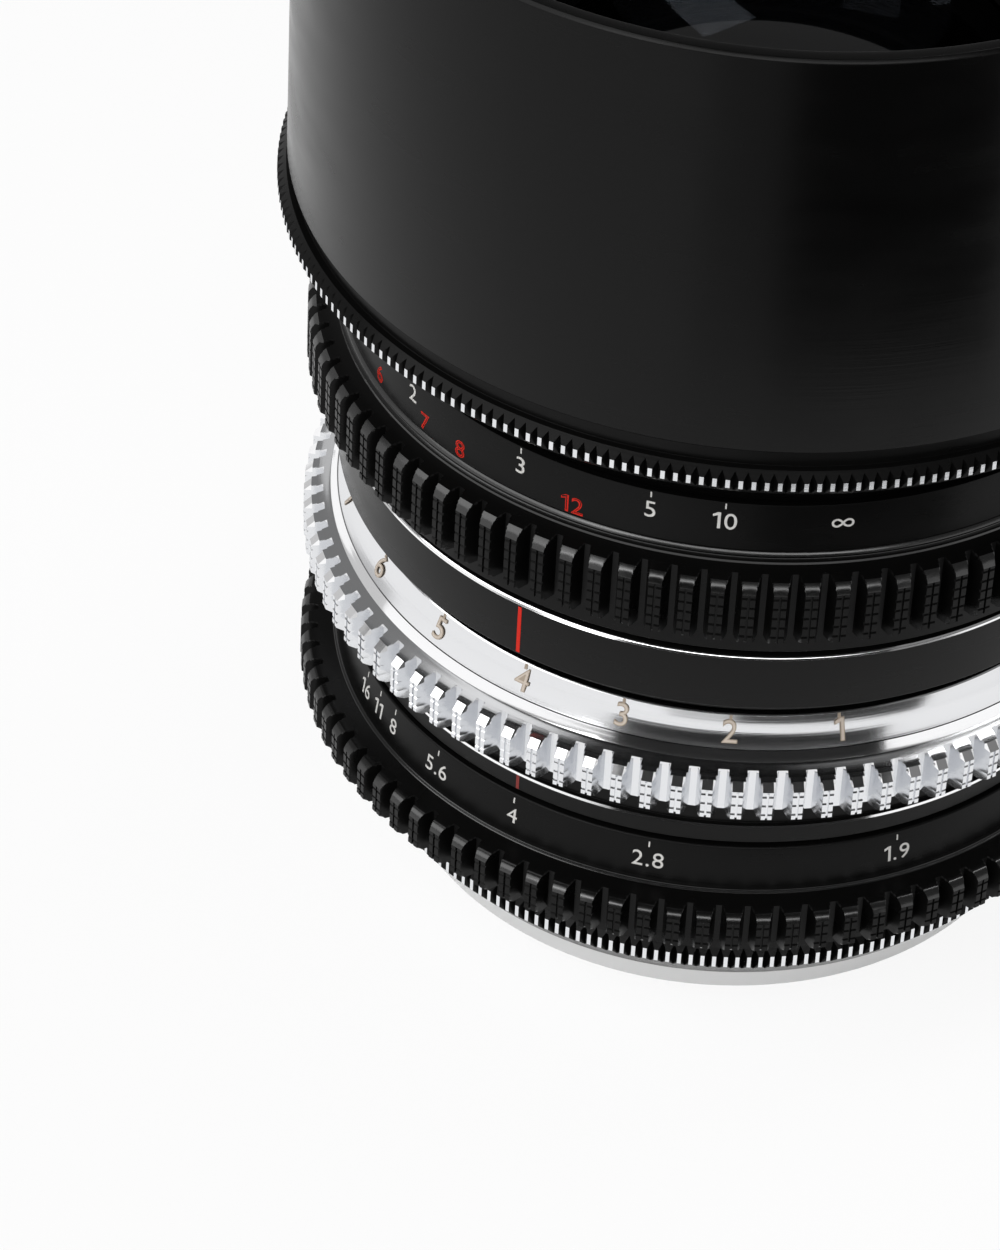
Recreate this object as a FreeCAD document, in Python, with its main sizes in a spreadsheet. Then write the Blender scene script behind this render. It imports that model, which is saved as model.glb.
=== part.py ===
import FreeCAD, Part
import math
import os

import Sketcher

# A portrait lens for a mirrorless camera: three geared rings turn on a fixed barrel, and a block
# with the glass, the iris and the hood slides inside it. The origin is the middle of the rear
# mounting face, +Z points to the subject and -Y is the side with the index lines.

os.makedirs("parts", exist_ok=True)
doc = FreeCAD.newDocument("portrait_lens")

# Millimetres and degrees. A size is written once here and everything else is tied to it.
sizes = {
    # fits between pieces
    "air": 0.35,
    "run_gap": 0.06,
    # barrels, by radius
    "ring_bore": 33.0,
    "slide_bore": 31.0,
    "block_wall": 1.14,
    # rear mount
    "mount_hole": 20.0,
    "mount_wall": 1.9,
    "mount_depth": 4.4,
    "lug_reach": 1.6,
    "lug_drop": 1.4,
    "lug_height": 1.6,
    "lug_angle": 54,
    "flange_inset": 0.25,
    "flange_widens": 1.45,
    "flange_height": 3.1,
    "screw_circle": 26.5,
    "screw_radius": 1.0,
    "screw_head": 1.9,
    "screw_length": 4.9,
    # fine grip at the rear
    "rear_grip_proud": 0.2,
    "rear_grip_cone": 3.0,
    "rear_grip_land": 1.2,
    "rear_grip_chamfer": 0.8,
    "rear_grip_count": 205,
    "foot_gap": 4.7,
    # gear teeth, shared by the three rings
    "tooth_count": 94,
    "tooth_wall": 3.9,
    "tooth_depth": 1.5,
    "black_tooth_land": 1.2,
    "black_tooth_floor": 0.5,
    "silver_tooth_land": 0.92,
    "silver_tooth_floor": 0.71,
    "tooth_chamfer": 0.4,
    "tooth_step": 1.1,
    # aperture ring
    "aperture_land": 3.1,
    "aperture_step_in": 1.4,
    "aperture_shelf": 0.5,
    "aperture_cone": 1.0,
    "aperture_band": 4.57,
    # index sleeves
    "rear_sleeve_wall": 1.41,
    "rear_sleeve_height": 1.9,
    "rear_neck_height": 3.8,
    "neck_wall": 0.9,
    "front_sleeve_wall": 2.61,
    "front_sleeve_height": 5.55,
    "front_neck_height": 1.65,
    # bokeh ring
    "bokeh_land": 3.05,
    "bokeh_step_in": 0.9,
    "bokeh_shelf": 1.1,
    "bokeh_cone": 1.9,
    "bokeh_band": 3.4,
    # focus ring
    "focus_skirt": 2.7,
    "focus_lip": 0.7,
    "focus_land": 5.0,
    "focus_step_in": 0.85,
    "focus_shelf": 1.1,
    "focus_band_in": 0.55,
    "focus_band": 5.7,
    "focus_wall": 0.7,
    "nut_height": 9.5,
    "nut_flange": 1.2,
    # travel of the parts
    "block_back": 2.22,
    "block_forward": 6.78,
    "bokeh_turn": 47.1,
    "bokeh_travel": 3.0,
    "aperture_back": 56.68,
    "aperture_on": 33.96,
    # front end
    "front_gap": 5.2,
    "front_skirt_wall": 1.0,
    "grip_proud": 0.79,
    "grip_count": 249,
    "grip_land": 0.8,
    "grip_under": 1.0,
    "grip_chamfer": 0.74,
    "grip_groove": 0.55,
    "hood_neck_drop": 0.55,
    "hood_neck_height": 1.56,
    "hood_height": 37.7,
    "hood_room": 3.15,
    "hood_floor": 2.5,
    "filter_step": 0.5,
    "filter_wall": 2.35,
    "filter_depth": 4.8,
    # glass
    "front_glass": 22.5,
    "front_glass_top": 12.6,
    "crown_middle": 12.0,
    "crown_front_bend": 70.0,
    "cement_bend": 60.0,
    "flint_middle": 3.5,
    "rear_glass": 18.5,
    "rear_glass_bend": 75.0,
    "bokeh_glass": 19.0,
    "bokeh_glass_bend": 110.0,
    # bokeh drive
    "cam_wall": 1.2,
    "pin_radius": 1.0,
    "bokeh_cell_height": 10.0,
    # iris
    "blade_count": 12,
    "blade_width": 5.5,
    "blade_span": 128,
    "blade_inset": 2.6,
    "blade_pin": 0.45,
    "blade_sheet": 0.12,
    "blade_pitch": 0.45,
    "blade_rest_turn": 26.02,
    "bar_half_angle": 6.0,
}

sheet = doc.addObject("Spreadsheet::Sheet", "Sizes")
for line, (word, value) in enumerate(sizes.items(), 1):
    sheet.set("A%d" % line, word)
    sheet.set("B%d" % line, str(value))
    sheet.setAlias("B%d" % line, word)
doc.recompute()

# Heights and radii that follow from the sizes, each as a sum of words.
levels = {
    "barrel_outer": "ring_bore - run_gap",
    "block_outer": "slide_bore - run_gap",
    "block_bore": "block_outer - block_wall",
    "mount_tube": "mount_hole + mount_wall",
    "lug_radius": "mount_tube + lug_reach",
    "flange_top": "slide_bore - flange_inset",
    "flange_radius": "flange_top - flange_widens",
    "rear_grip_radius": "ring_bore + rear_grip_proud",
    "tooth_root": "ring_bore + tooth_wall",
    "tooth_radius": "tooth_root + tooth_depth",
    "aperture_shoulder": "tooth_root - aperture_step_in",
    "aperture_top_radius": "aperture_shoulder - aperture_cone",
    "rear_sleeve_radius": "barrel_outer + rear_sleeve_wall",
    "front_sleeve_radius": "barrel_outer + front_sleeve_wall",
    "bokeh_shoulder": "tooth_root - bokeh_step_in",
    "bokeh_top_radius": "bokeh_shoulder - bokeh_cone",
    "focus_shoulder": "tooth_root - focus_step_in",
    "focus_skirt_radius": "focus_shoulder - 0.05",
    "focus_band_radius": "focus_shoulder - focus_band_in",
    "focus_bore": "focus_band_radius - focus_wall",
    "tooth_end": "tooth_root - 0.02",
    "rear_grip_top": "flange_height + rear_grip_cone + rear_grip_land + rear_grip_chamfer",
    "aperture_z": "rear_grip_top + foot_gap",
    "aperture_teeth": "aperture_z + 2*tooth_chamfer + aperture_land",
    "aperture_bead": "aperture_teeth + aperture_shelf",
    "aperture_top": "aperture_bead + aperture_band",
    "rear_sleeve_z": "aperture_top + air",
    "rear_sleeve_top": "rear_sleeve_z + rear_sleeve_height",
    "rear_neck_top": "rear_sleeve_top + rear_neck_height",
    "bokeh_z": "rear_neck_top + air",
    "bokeh_teeth": "bokeh_z + 2*tooth_chamfer + bokeh_land",
    "bokeh_bead": "bokeh_teeth + bokeh_shelf",
    "bokeh_top": "bokeh_bead + bokeh_band",
    "front_neck_z": "bokeh_top + air",
    "front_sleeve_z": "front_neck_z + front_neck_height",
    "front_sleeve_top": "front_sleeve_z + front_sleeve_height",
    "neck_radius": "barrel_outer + neck_wall",
    "lip_z": "front_sleeve_top + air",
    "focus_skirt_z": "lip_z + focus_lip",
    "focus_z": "focus_skirt_z + focus_skirt",
    "focus_teeth": "focus_z + 2*tooth_chamfer + focus_land",
    "focus_bead": "focus_teeth + focus_shelf",
    "focus_top": "focus_bead + focus_band",
    "keeper_z": "focus_z",
    "lip_top": "focus_z - air",
    "barrel_top": "focus_z + 1.7",
    "nut_z": "barrel_top + air",
    "nut_flange_top": "nut_z + nut_flange",
    "nut_top": "nut_z + nut_height",
    "skirt_outer": "focus_bore - air",
    "skirt_inner": "skirt_outer - front_skirt_wall",
    "nut_wall_radius": "skirt_inner - air",
    "skirt_z": "nut_flange_top + block_back + air",
    "roof_z": "nut_top + block_back + air",
    "grip_z": "focus_top + front_gap",
    "grip_land_z": "grip_z + grip_under",
    "grip_land_top": "grip_land_z + grip_land",
    "grip_top": "grip_land_top + grip_chamfer",
    "hood_z": "grip_top + hood_neck_height",
    "hood_floor_top": "hood_z + hood_floor",
    "hood_top": "hood_z + hood_height",
    "hood_bore": "skirt_outer + hood_room",
    "filter_bore": "hood_bore + filter_step",
    "hood_radius": "filter_bore + filter_wall",
    "hood_neck": "hood_radius - hood_neck_drop",
    "grip_radius": "hood_radius + grip_proud",
    "cell_flange_top": "hood_floor_top + 2.0",
    "glass_front_z": "hood_z + front_glass_top",
    "cement_z": "glass_front_z - crown_middle",
    "flint_z": "cement_z - flint_middle",
    "block_z": "flange_height + 2.3 + block_back + air + 0.3",
    "rear_flange_top": "block_z + 2.2",
    "cam_z": "rear_flange_top + air",
    "cell_low": "cam_z + 2.3",
    "bokeh_cell_z": "cell_low + bokeh_travel",
    "bokeh_cell_top": "bokeh_cell_z + bokeh_cell_height",
    "guide_z": "bokeh_cell_z + 5.0",
    "cam_bore": "cam_outer - cam_wall",
    "cam_outer": "block_bore - 1.6",
    "bokeh_pin_z": "bokeh_teeth - 1.3",
    "cam_top": "bokeh_pin_z + block_back + 4.7",
    "cam_keeper_z": "cam_top + air",
    "cam_keeper_top": "cam_keeper_z + 2.0",
    "aperture_pin_z": "aperture_bead + 1.8",
    "key_z": "front_sleeve_z",
    "key_top": "key_z + 5.0",
    "plate_z": "key_top + block_back + 0.8",
    "plate_top": "plate_z + 1.5",
    "first_blade": "plate_top + air",
    "blade_pivot": "block_bore - blade_inset",
    "blade_edge": "blade_pivot - 0.8",
    "blade_bore": "blade_edge - blade_width",
    "iris_ring_z": "first_blade + 5.45",
    "iris_ring_roof": "iris_ring_z + 1.5",
    "iris_ring_top": "iris_ring_roof + 1.2",
    "iris_keeper_z": "iris_ring_top + air",
    "iris_keeper_top": "iris_keeper_z + 1.4",
    "bar_inner": "cam_outer + 0.4",
    "bar_outer": "block_bore - 0.2",
    "arc_inner": "bar_inner - air",
    "bar_z": "block_z + 2.7",
    "fork_top": "aperture_pin_z + block_back + 1.6",
}


def terms(text):
    """Splits a sum of words such as 'ring_bore - 2*air' into sign, factor and word."""
    sign = 1
    for word in text.split():
        if word in "+-":
            sign = 1 if word == "+" else -1
        elif "*" in word:
            factor, name = word.split("*")
            yield sign, float(factor), name
        else:
            yield sign, 1.0, word


def total(text):
    """The value of a sum of words."""
    result = 0.0
    for sign, factor, word in terms(text):
        if word in sizes:
            value = sizes[word]
        elif word in levels:
            value = total(levels[word])
        else:
            value = float(word)
        result += sign * factor * value
    return result


def linked(text):
    """The same sum as an expression on the sheet's cells."""
    parts = []
    for sign, factor, word in terms(text):
        if word in sizes:
            value = "Sizes." + word
        elif word in levels:
            value = "(" + linked(levels[word]) + ")"
        else:
            value = word
        parts.append("%s %g * %s" % ("+" if sign > 0 else "-", factor, value))
    return " ".join(parts).lstrip("+ ")


def plane(body, role):
    """An origin plane or axis of a body."""
    return [item for item in body.Origin.OriginFeatures if item.Role == role][0]


def profile(body, name, outline, base, azimuth=0):
    """A closed sketch in a plane through the axis: radius across, height above the base up."""
    sketch = body.newObject("Sketcher::SketchObject", name)
    sketch.AttachmentSupport = (plane(body, "XZ_Plane"), [""])
    sketch.MapMode = "FlatFace"
    turn = FreeCAD.Rotation(FreeCAD.Vector(0, 1, 0), azimuth - 90)
    sketch.AttachmentOffset = FreeCAD.Placement(FreeCAD.Vector(), turn)
    corners = [FreeCAD.Vector(total(r), total(z) - total(base), 0) for r, z in outline]
    count = len(corners)
    for index, corner in enumerate(corners):
        sketch.addGeometry(Part.LineSegment(corner, corners[(index + 1) % count]))
    for index in range(count):
        sketch.addConstraint(Sketcher.Constraint("Coincident", index, 2, (index + 1) % count, 1))
    for index, (r, z) in enumerate(outline):
        for kind, word, value in (("DistanceX", "r", r), ("DistanceY", "z", z)):
            number = total(value) - (total(base) if word == "z" else 0)
            place = sketch.addConstraint(Sketcher.Constraint(kind, -1, 1, index, 1, number))
            sketch.renameConstraint(place, "%s%d" % (word, index))
            sum_text = linked(value)
            if word == "z":
                sum_text += " - (" + linked(base) + ")"
            sketch.setExpression("Constraints.%s%d" % (word, index), sum_text)
    return sketch


def turned(label, outline):
    """A body turned from its half section, standing at the height of its lowest corner."""
    base = min((z for r, z in outline), key=total)
    body = doc.addObject("PartDesign::Body", label)
    body.Label = label
    body.setExpression("Placement.Base.z", linked(base))
    body.Placement.Base.z = total(base)
    sketch = profile(body, "Section", outline, base)
    turn = body.newObject("PartDesign::Revolution", "Turn")
    turn.Profile = sketch
    turn.ReferenceAxis = (sketch, ["V_Axis"])
    turn.Angle = 360
    sketch.Visibility = False
    return body, base


def window(made, name, r_low, r_high, z_low, z_high, middle, width):
    """An arc cut through the wall of a turned body, centred on an azimuth."""
    body, base = made
    outline = [(r_low, z_low), (r_high, z_low), (r_high, z_high), (r_low, z_high)]
    sketch = profile(body, name + "Section", outline, base, middle)
    cut = body.newObject("PartDesign::Groove", name)
    cut.Profile = sketch
    cut.ReferenceAxis = (sketch, ["V_Axis"])
    cut.Midplane = True
    cut.Angle = width
    return cut


def box_outline(r_low, r_high, z_low, z_high):
    """The four corners of a plain ring's half section."""
    return [(r_low, z_low), (r_high, z_low), (r_high, z_high), (r_low, z_high)]


def primitive(kind, name, **values):
    """A Part primitive with its dimensions bound to sums of words."""
    item = doc.addObject("Part::" + kind, name)
    for key, text in values.items():
        path = {"x": "Placement.Base.x", "y": "Placement.Base.y", "z": "Placement.Base.z"}.get(key, key)
        item.setExpression(path, linked(text))
    return item


def around(azimuth, radius, height):
    """The point at an azimuth, counted from -Y towards +X."""
    angle = math.radians(azimuth)
    return FreeCAD.Vector(radius * math.sin(angle), -radius * math.cos(angle), height)


def radial_pin(name, r_low, r_high, height, azimuth):
    """A round pin that points out from the axis."""
    pin = doc.addObject("Part::Cylinder", name)
    pin.setExpression("Radius", "Sizes.pin_radius")
    pin.setExpression("Height", linked(r_high) + " - (" + linked(r_low) + ")")
    outward = around(azimuth, 1, 0)
    turn = FreeCAD.Rotation(FreeCAD.Vector(0, 0, 1), outward)
    pin.Placement = FreeCAD.Placement(around(azimuth, total(r_low), total(height)), turn)
    return pin


def joined(label, items):
    """Several shapes made one piece."""
    piece = doc.addObject("Part::MultiFuse", label)
    piece.Label = label
    piece.Shapes = [item[0] if isinstance(item, tuple) else item for item in items]
    return piece


def drilled(label, base, tool):
    """A piece with the shape of another taken out of it."""
    piece = doc.addObject("Part::Cut", label)
    piece.Label = label
    piece.Base = base[0] if isinstance(base, tuple) else base
    piece.Tool = tool
    return piece


def toothed(name, count, first, bore, corners, rows):
    """A ring whose outside has the same tooth over and over, built face by face.

    corners holds one tooth as (angle of the root, radius of the root, angle of the tip, radius of
    the tip), angles in radians from the middle of the land. rows holds (height, share), where the
    share is how far the land reaches from the root, 0, to the full tip, 1.
    """
    root_turn, root_radius, tip_turn, tip_radius = corners
    pitch = 2 * math.pi / count

    def corner(tooth, side, share, height):
        middle = first + tooth * pitch
        root = FreeCAD.Vector(root_radius * math.sin(middle + side * root_turn),
                              -root_radius * math.cos(middle + side * root_turn), height)
        tip = FreeCAD.Vector(tip_radius * math.sin(middle + side * tip_turn),
                             -tip_radius * math.cos(middle + side * tip_turn), height)
        return root + (tip - root) * share

    def face(points):
        return Part.Face(Part.makePolygon(points + points[:1]))

    low, high = rows[0][0], rows[-1][0]
    faces = []
    ends = {low: [], high: []}
    for tooth in range(count):
        for side in (-1, 1):
            flank = [corner(tooth, side, share, height) for height, share in rows]
            if rows[0][1] > 0:
                flank.insert(0, corner(tooth, side, 0, low))
            if rows[-1][1] > 0:
                flank.append(corner(tooth, side, 0, high))
            faces.append(face(flank))
        for (z_a, share_a), (z_b, share_b) in zip(rows, rows[1:]):
            faces.append(face([corner(tooth, -1, share_a, z_a), corner(tooth, 1, share_a, z_a),
                               corner(tooth, 1, share_b, z_b), corner(tooth, -1, share_b, z_b)]))
        if root_turn < pitch / 2 - 1e-6:
            faces.append(face([corner(tooth, 1, 0, low), corner(tooth + 1, -1, 0, low),
                               corner(tooth + 1, -1, 0, high), corner(tooth, 1, 0, high)]))
        for height, share in (rows[0], rows[-1]):
            line = [corner(tooth, -1, 0, height), corner(tooth, -1, share, height),
                    corner(tooth, 1, share, height), corner(tooth, 1, 0, height)]
            ends[height] += [point for index, point in enumerate(line)
                             if index == 0 or (point - line[index - 1]).Length > 1e-6]
    for height, line in ends.items():
        line = [point for index, point in enumerate(line)
                if (point - line[index - 1]).Length > 1e-6]
        outer = Part.makePolygon(line + line[:1])
        inner = Part.Wire(Part.makeCircle(bore, FreeCAD.Vector(0, 0, height)))
        faces.append(Part.makeFace([outer, inner], "Part::FaceMakerBullseye"))
    tube = Part.makeCylinder(bore, high - low, FreeCAD.Vector(0, 0, low))
    faces.append([item for item in tube.Faces if item.Surface.TypeId == "Part::GeomCylinder"][0])
    shell = Part.makeShell(faces)
    shell.sewShape()
    solid = Part.makeSolid(shell.Shells[0] if shell.ShapeType != "Shell" else shell)
    if solid.Volume < 0:
        solid.reverse()
    ring = doc.addObject("Part::Feature", name)
    ring.Shape = solid
    return ring


def gear_band(name, tooth, base, land, shelf, shoulder, bore, phase):
    """The toothed part of a ring: short chamfer, land, steep step and the foot of the shelf."""
    tip, root = total("tooth_radius"), total("tooth_root")
    depth = sizes["tooth_depth"]
    pitch = 2 * math.pi / sizes["tooth_count"]
    start = total(base)
    step = sizes["tooth_step"]
    low_share = 1 - 0.5 / depth
    high_share = 1 - step / depth
    land_low = start + sizes["tooth_chamfer"]
    land_top = land_low + sizes[land]
    step_top = land_top + sizes["tooth_chamfer"]
    run_out = step_top + sizes[shelf] * (depth - step) / (tip - step - total(shoulder))
    half_floor = sizes[tooth + "_floor"] / 2 / root
    corners = (pitch / 2 - half_floor, root, sizes[tooth + "_land"] / 2 / tip, tip)
    rows = [(start, low_share), (land_low, 1), (land_top, 1), (step_top, high_share), (run_out, 0)]
    band = toothed(name, int(sizes["tooth_count"]), math.radians(phase), total(bore), corners, rows)
    levels[name.lower() + "_end"] = "%.6f" % run_out
    return band


def grip_band(name, radius, count, groove, base, under, land, chamfer, slopes, bore, phase):
    """A ring of fine lengthwise grooves that run out on the cones above and below the land."""
    pitch = 2 * math.pi / count
    root = radius - groove
    low = base + under - groove * slopes[0]
    high = base + under + land + groove * slopes[1]
    corners = (pitch / 2, root, pitch / 2 * 0.34, radius)
    rows = [(low, 0), (base + under, 1), (base + under + land, 1), (high, 0)]
    band = toothed(name, int(count), phase, bore, corners, rows)
    levels[name.lower() + "_low"] = "%.6f" % low
    levels[name.lower() + "_high"] = "%.6f" % high
    return band


# Rear mount: flange, three lugs on a short tube, four screws and a light baffle.
flange = turned("FlangeBlank", [
    ("mount_hole", "0 - mount_depth"), ("mount_tube", "0 - mount_depth"), ("mount_tube", "0"),
    ("flange_radius", "0"), ("flange_top", "flange_height"), ("mount_hole", "flange_height")])
lug = profile(flange[0], "LugSection", box_outline("mount_tube - 0.5", "lug_radius",
              "0 - lug_drop - lug_height", "0 - lug_drop"), flange[1], 0)
lug_turn = flange[0].newObject("PartDesign::Revolution", "Lug")
lug_turn.Profile = lug
lug_turn.ReferenceAxis = (lug, ["V_Axis"])
lug_turn.Midplane = True
lug_turn.setExpression("Angle", "Sizes.lug_angle")
lugs = flange[0].newObject("PartDesign::PolarPattern", "Lugs")
lugs.Originals = [lug_turn]
lugs.Axis = (plane(flange[0], "Z_Axis"), [""])
lugs.Angle = 360
lugs.Occurrences = 3
flange[0].Tip = lugs

mount_screw_shapes = []
for index in range(4):
    azimuth = 45 + 90 * index
    head = doc.addObject("Part::Cone", "ScrewHead%d" % index)
    head.setExpression("Radius1", "Sizes.screw_head")
    head.setExpression("Radius2", "Sizes.screw_radius")
    head.Height = 1.1
    head.Placement.Base = around(azimuth, sizes["screw_circle"], 0)
    shank = doc.addObject("Part::Cylinder", "ScrewShank%d" % index)
    shank.setExpression("Radius", "Sizes.screw_radius")
    shank.setExpression("Height", "Sizes.screw_length")
    shank.Placement.Base = around(azimuth, sizes["screw_circle"], 0)
    mount_screw_shapes += [head, shank]
screw_blanks = joined("ScrewBlanks", mount_screw_shapes)
slots = []
for index in range(4):
    slot = doc.addObject("Part::Box", "ScrewSlot%d" % index)
    slot.Length, slot.Width, slot.Height = 3.0, 0.5, 0.45
    middle = around(45 + 90 * index, sizes["screw_circle"], 0)
    slot.Placement.Base = middle - FreeCAD.Vector(1.5, 0.25, 0)
    slots.append(slot)
mount_flange = drilled("mount_flange", flange, screw_blanks)
mount_screws = drilled("mount_screws", screw_blanks, joined("ScrewSlots", slots))
rear_light_baffle, _ = turned("rear_light_baffle", [
    ("mount_hole", "0 - mount_depth + 0.8"), ("mount_hole", "0 - mount_depth + 2.4"),
    ("17.4", "0 - mount_depth + 1.2"), ("17.4", "0 - mount_depth + 0.8")])

# Fine grip ring behind the aperture ring, with the floor that the mount screws hold.
slope = sizes["rear_grip_cone"] / (total("rear_grip_radius") - total("flange_top"))
rear_band = grip_band(
    "RearGrip", total("rear_grip_radius"), sizes["rear_grip_count"], sizes["grip_groove"],
    sizes["flange_height"], sizes["rear_grip_cone"], sizes["rear_grip_land"],
    sizes["rear_grip_chamfer"], (slope, 1.14), total("slide_bore"), 0.1213)
rear_low = turned("RearGripLow", [
    ("22", "flange_height"), ("flange_top", "flange_height"),
    ("rear_grip_radius - grip_groove - 0.02", "reargrip_low"), ("22", "reargrip_low")])
rear_high = turned("RearGripHigh", [
    ("slide_bore", "reargrip_high"), ("rear_grip_radius - grip_groove - 0.02", "reargrip_high"),
    ("rear_grip_radius - 0.7", "rear_grip_top"), ("slide_bore", "rear_grip_top")])
rear_knurl_ring = drilled("rear_knurl_ring", joined("RearGripBlank", [rear_band, rear_low, rear_high]),
                          screw_blanks)

# Fixed barrel with an arc slot for each drive pin and a slot for each guide key.
barrel = turned("MainBarrelBlank", box_outline("slide_bore", "barrel_outer", "rear_grip_top", "barrel_top"))
barrel[0].Label = "main_barrel"
sweep = sizes["aperture_back"] + sizes["aperture_on"]
drift = (sizes["aperture_on"] - sizes["aperture_back"]) / 2
window(barrel, "ApertureSlot", "slide_bore - 1", "ring_bore + 1", "aperture_pin_z - 1.35",
       "aperture_pin_z + 1.35", drift, sweep + 6)
window(barrel, "BokehSlot", "slide_bore - 1", "ring_bore + 1", "bokeh_pin_z - 1.35",
       "bokeh_pin_z + 1.35", 110, 2 * sizes["bokeh_turn"] + 6)
key_angle = 5.5
for index, azimuth in enumerate((195, 275)):
    window(barrel, "KeySlot%d" % index, "slide_bore - 1", "ring_bore + 1", "key_z", "key_top",
           azimuth, key_angle)

aperture_keeper, _ = turned("aperture_keeper", box_outline(
    "barrel_outer", "34.6", "aperture_z - air - 1.5", "aperture_z - air"))
index_sleeve_rear, _ = turned("index_sleeve_rear", [
    ("barrel_outer", "rear_sleeve_z"), ("rear_sleeve_radius", "rear_sleeve_z"),
    ("rear_sleeve_radius", "rear_sleeve_top - 0.2"), ("rear_sleeve_radius - 0.2", "rear_sleeve_top"),
    ("neck_radius", "rear_sleeve_top"), ("neck_radius", "rear_neck_top"),
    ("barrel_outer", "rear_neck_top")])
index_sleeve_front, _ = turned("index_sleeve_front", [
    ("barrel_outer", "front_neck_z"), ("neck_radius", "front_neck_z"),
    ("neck_radius", "front_sleeve_z"), ("front_sleeve_radius", "front_sleeve_z"),
    ("front_sleeve_radius", "front_sleeve_top - 0.3"),
    ("front_sleeve_radius - 0.3", "front_sleeve_top"), ("barrel_outer", "front_sleeve_top")])
focus_keeper, _ = turned("focus_keeper", box_outline(
    "barrel_outer", "focus_bore - air", "keeper_z", "barrel_top"))

keys = []
for index, azimuth in enumerate((195, 275)):
    key = turned("Key%d" % index, box_outline("block_bore + 0.3", "barrel_outer", "key_z", "key_top"))
    gap = (360 - key_angle)
    window(key, "KeySides%d" % index, "block_bore - 1", "ring_bore + 1", "key_z", "key_top",
           azimuth + 180, gap)
    keys.append(key)
guide_keys = joined("guide_keys", keys)

# Aperture ring and its drive pin.
aperture_pin = radial_pin("aperture_drive_pin", "bar_inner + 0.3", "34", "aperture_pin_z", 0)
aperture_band = gear_band("Aperture", "black_tooth", "aperture_z", "aperture_land", "aperture_shelf",
                          "aperture_shoulder", "ring_bore", 2.53)
aperture_upper = turned("ApertureUpper", [
    ("ring_bore", "aperture_end"), ("tooth_end", "aperture_end"),
    ("aperture_shoulder", "aperture_bead"), ("aperture_shoulder - 0.3", "aperture_bead + 0.55"),
    ("aperture_top_radius + 0.15", "aperture_top - 0.15"), ("aperture_top_radius", "aperture_top"),
    ("ring_bore", "aperture_top")])
aperture_ring = drilled("aperture_ring", joined("ApertureBlank", [aperture_band, aperture_upper]),
                        aperture_pin)

# Bokeh ring and its drive pin.
bokeh_pin = radial_pin("bokeh_drive_pin", "cam_bore + 0.4", "34.4", "bokeh_pin_z", 110)
bokeh_band = gear_band("Bokeh", "silver_tooth", "bokeh_z", "bokeh_land", "bokeh_shelf", "bokeh_shoulder",
                       "ring_bore", 1.53)
bokeh_upper = turned("BokehUpper", [
    ("ring_bore", "bokeh_end"), ("tooth_end", "bokeh_end"), ("bokeh_shoulder", "bokeh_bead"),
    ("bokeh_shoulder - 0.6", "bokeh_bead + 0.55"), ("bokeh_top_radius + 0.1", "bokeh_top - 0.1"),
    ("bokeh_top_radius", "bokeh_top"), ("ring_bore", "bokeh_top")])
bokeh_ring = drilled("bokeh_ring", joined("BokehBlank", [bokeh_band, bokeh_upper]), bokeh_pin)

# Focus ring with the brass nut that moves the block.
focus_band = gear_band("Focus", "black_tooth", "focus_z", "focus_land", "focus_shelf", "focus_shoulder",
                       "focus_bore", 0.69)
focus_lower = turned("FocusLower", [
    ("ring_bore", "lip_z"), ("34.5", "lip_z"), ("34.5", "focus_skirt_z"),
    ("focus_skirt_radius", "focus_skirt_z"), ("focus_skirt_radius", "focus_z"),
    ("focus_bore", "focus_z"), ("focus_bore", "lip_top"), ("ring_bore", "lip_top")])
focus_upper = turned("FocusUpper", [
    ("focus_bore", "focus_end"), ("tooth_end", "focus_end"), ("focus_shoulder", "focus_bead"),
    ("focus_shoulder - 0.3", "focus_bead + 0.5"), ("focus_band_radius", "focus_bead + 0.9"),
    ("focus_band_radius", "focus_top - 0.25"), ("focus_band_radius - 0.25", "focus_top"),
    ("focus_bore", "focus_top")])
focus_ring = joined("focus_ring", [focus_band, focus_lower, focus_upper])
focus_nut, _ = turned("focus_nut", [
    ("slide_bore", "nut_z"), ("focus_bore", "nut_z"), ("focus_bore", "nut_flange_top"),
    ("nut_wall_radius", "nut_flange_top"), ("nut_wall_radius", "nut_top"), ("slide_bore", "nut_top")])

# Sliding block: inner barrel with a skirt that closes the gap above the focus ring.
block = turned("LensBarrelBlank", [
    ("block_bore", "block_z"), ("block_outer", "block_z"), ("block_outer", "roof_z"),
    ("skirt_inner", "roof_z"), ("skirt_inner", "skirt_z"), ("skirt_outer", "skirt_z"),
    ("skirt_outer", "hood_floor_top"), ("block_bore", "hood_floor_top")])
block[0].Label = "lens_barrel"
window(block, "ApertureWindow", "block_bore - 0.5", "block_outer + 0.5",
       "aperture_pin_z - block_forward - 1.4", "aperture_pin_z + block_back + 1.4", drift, sweep + 6)
window(block, "BokehWindow", "block_bore - 0.5", "block_outer + 0.5",
       "bokeh_pin_z - block_forward - 1.4", "bokeh_pin_z + block_back + 1.4", 110,
       2 * sizes["bokeh_turn"] + 6)
side = math.degrees((sizes["pin_radius"] + sizes["run_gap"]) / (total("block_bore") + 0.4))
guide_azimuths = (-70, 50, 170)
for index, azimuth in enumerate(guide_azimuths):
    window(block, "GuideSlot%d" % index, "block_bore - 0.5", "block_bore + 0.8",
           "guide_z - bokeh_travel - 1.4", "guide_z + bokeh_travel + 1.4", azimuth, 2 * side)
key_side = 2 * math.degrees(sizes["run_gap"] / total("block_outer"))
for index, azimuth in enumerate((195, 275)):
    window(block, "KeyWay%d" % index, "block_bore - 0.5", "block_outer + 0.5",
           "key_z - block_forward - 0.4", "key_top + block_back + 0.4", azimuth, key_angle + key_side)

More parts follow.
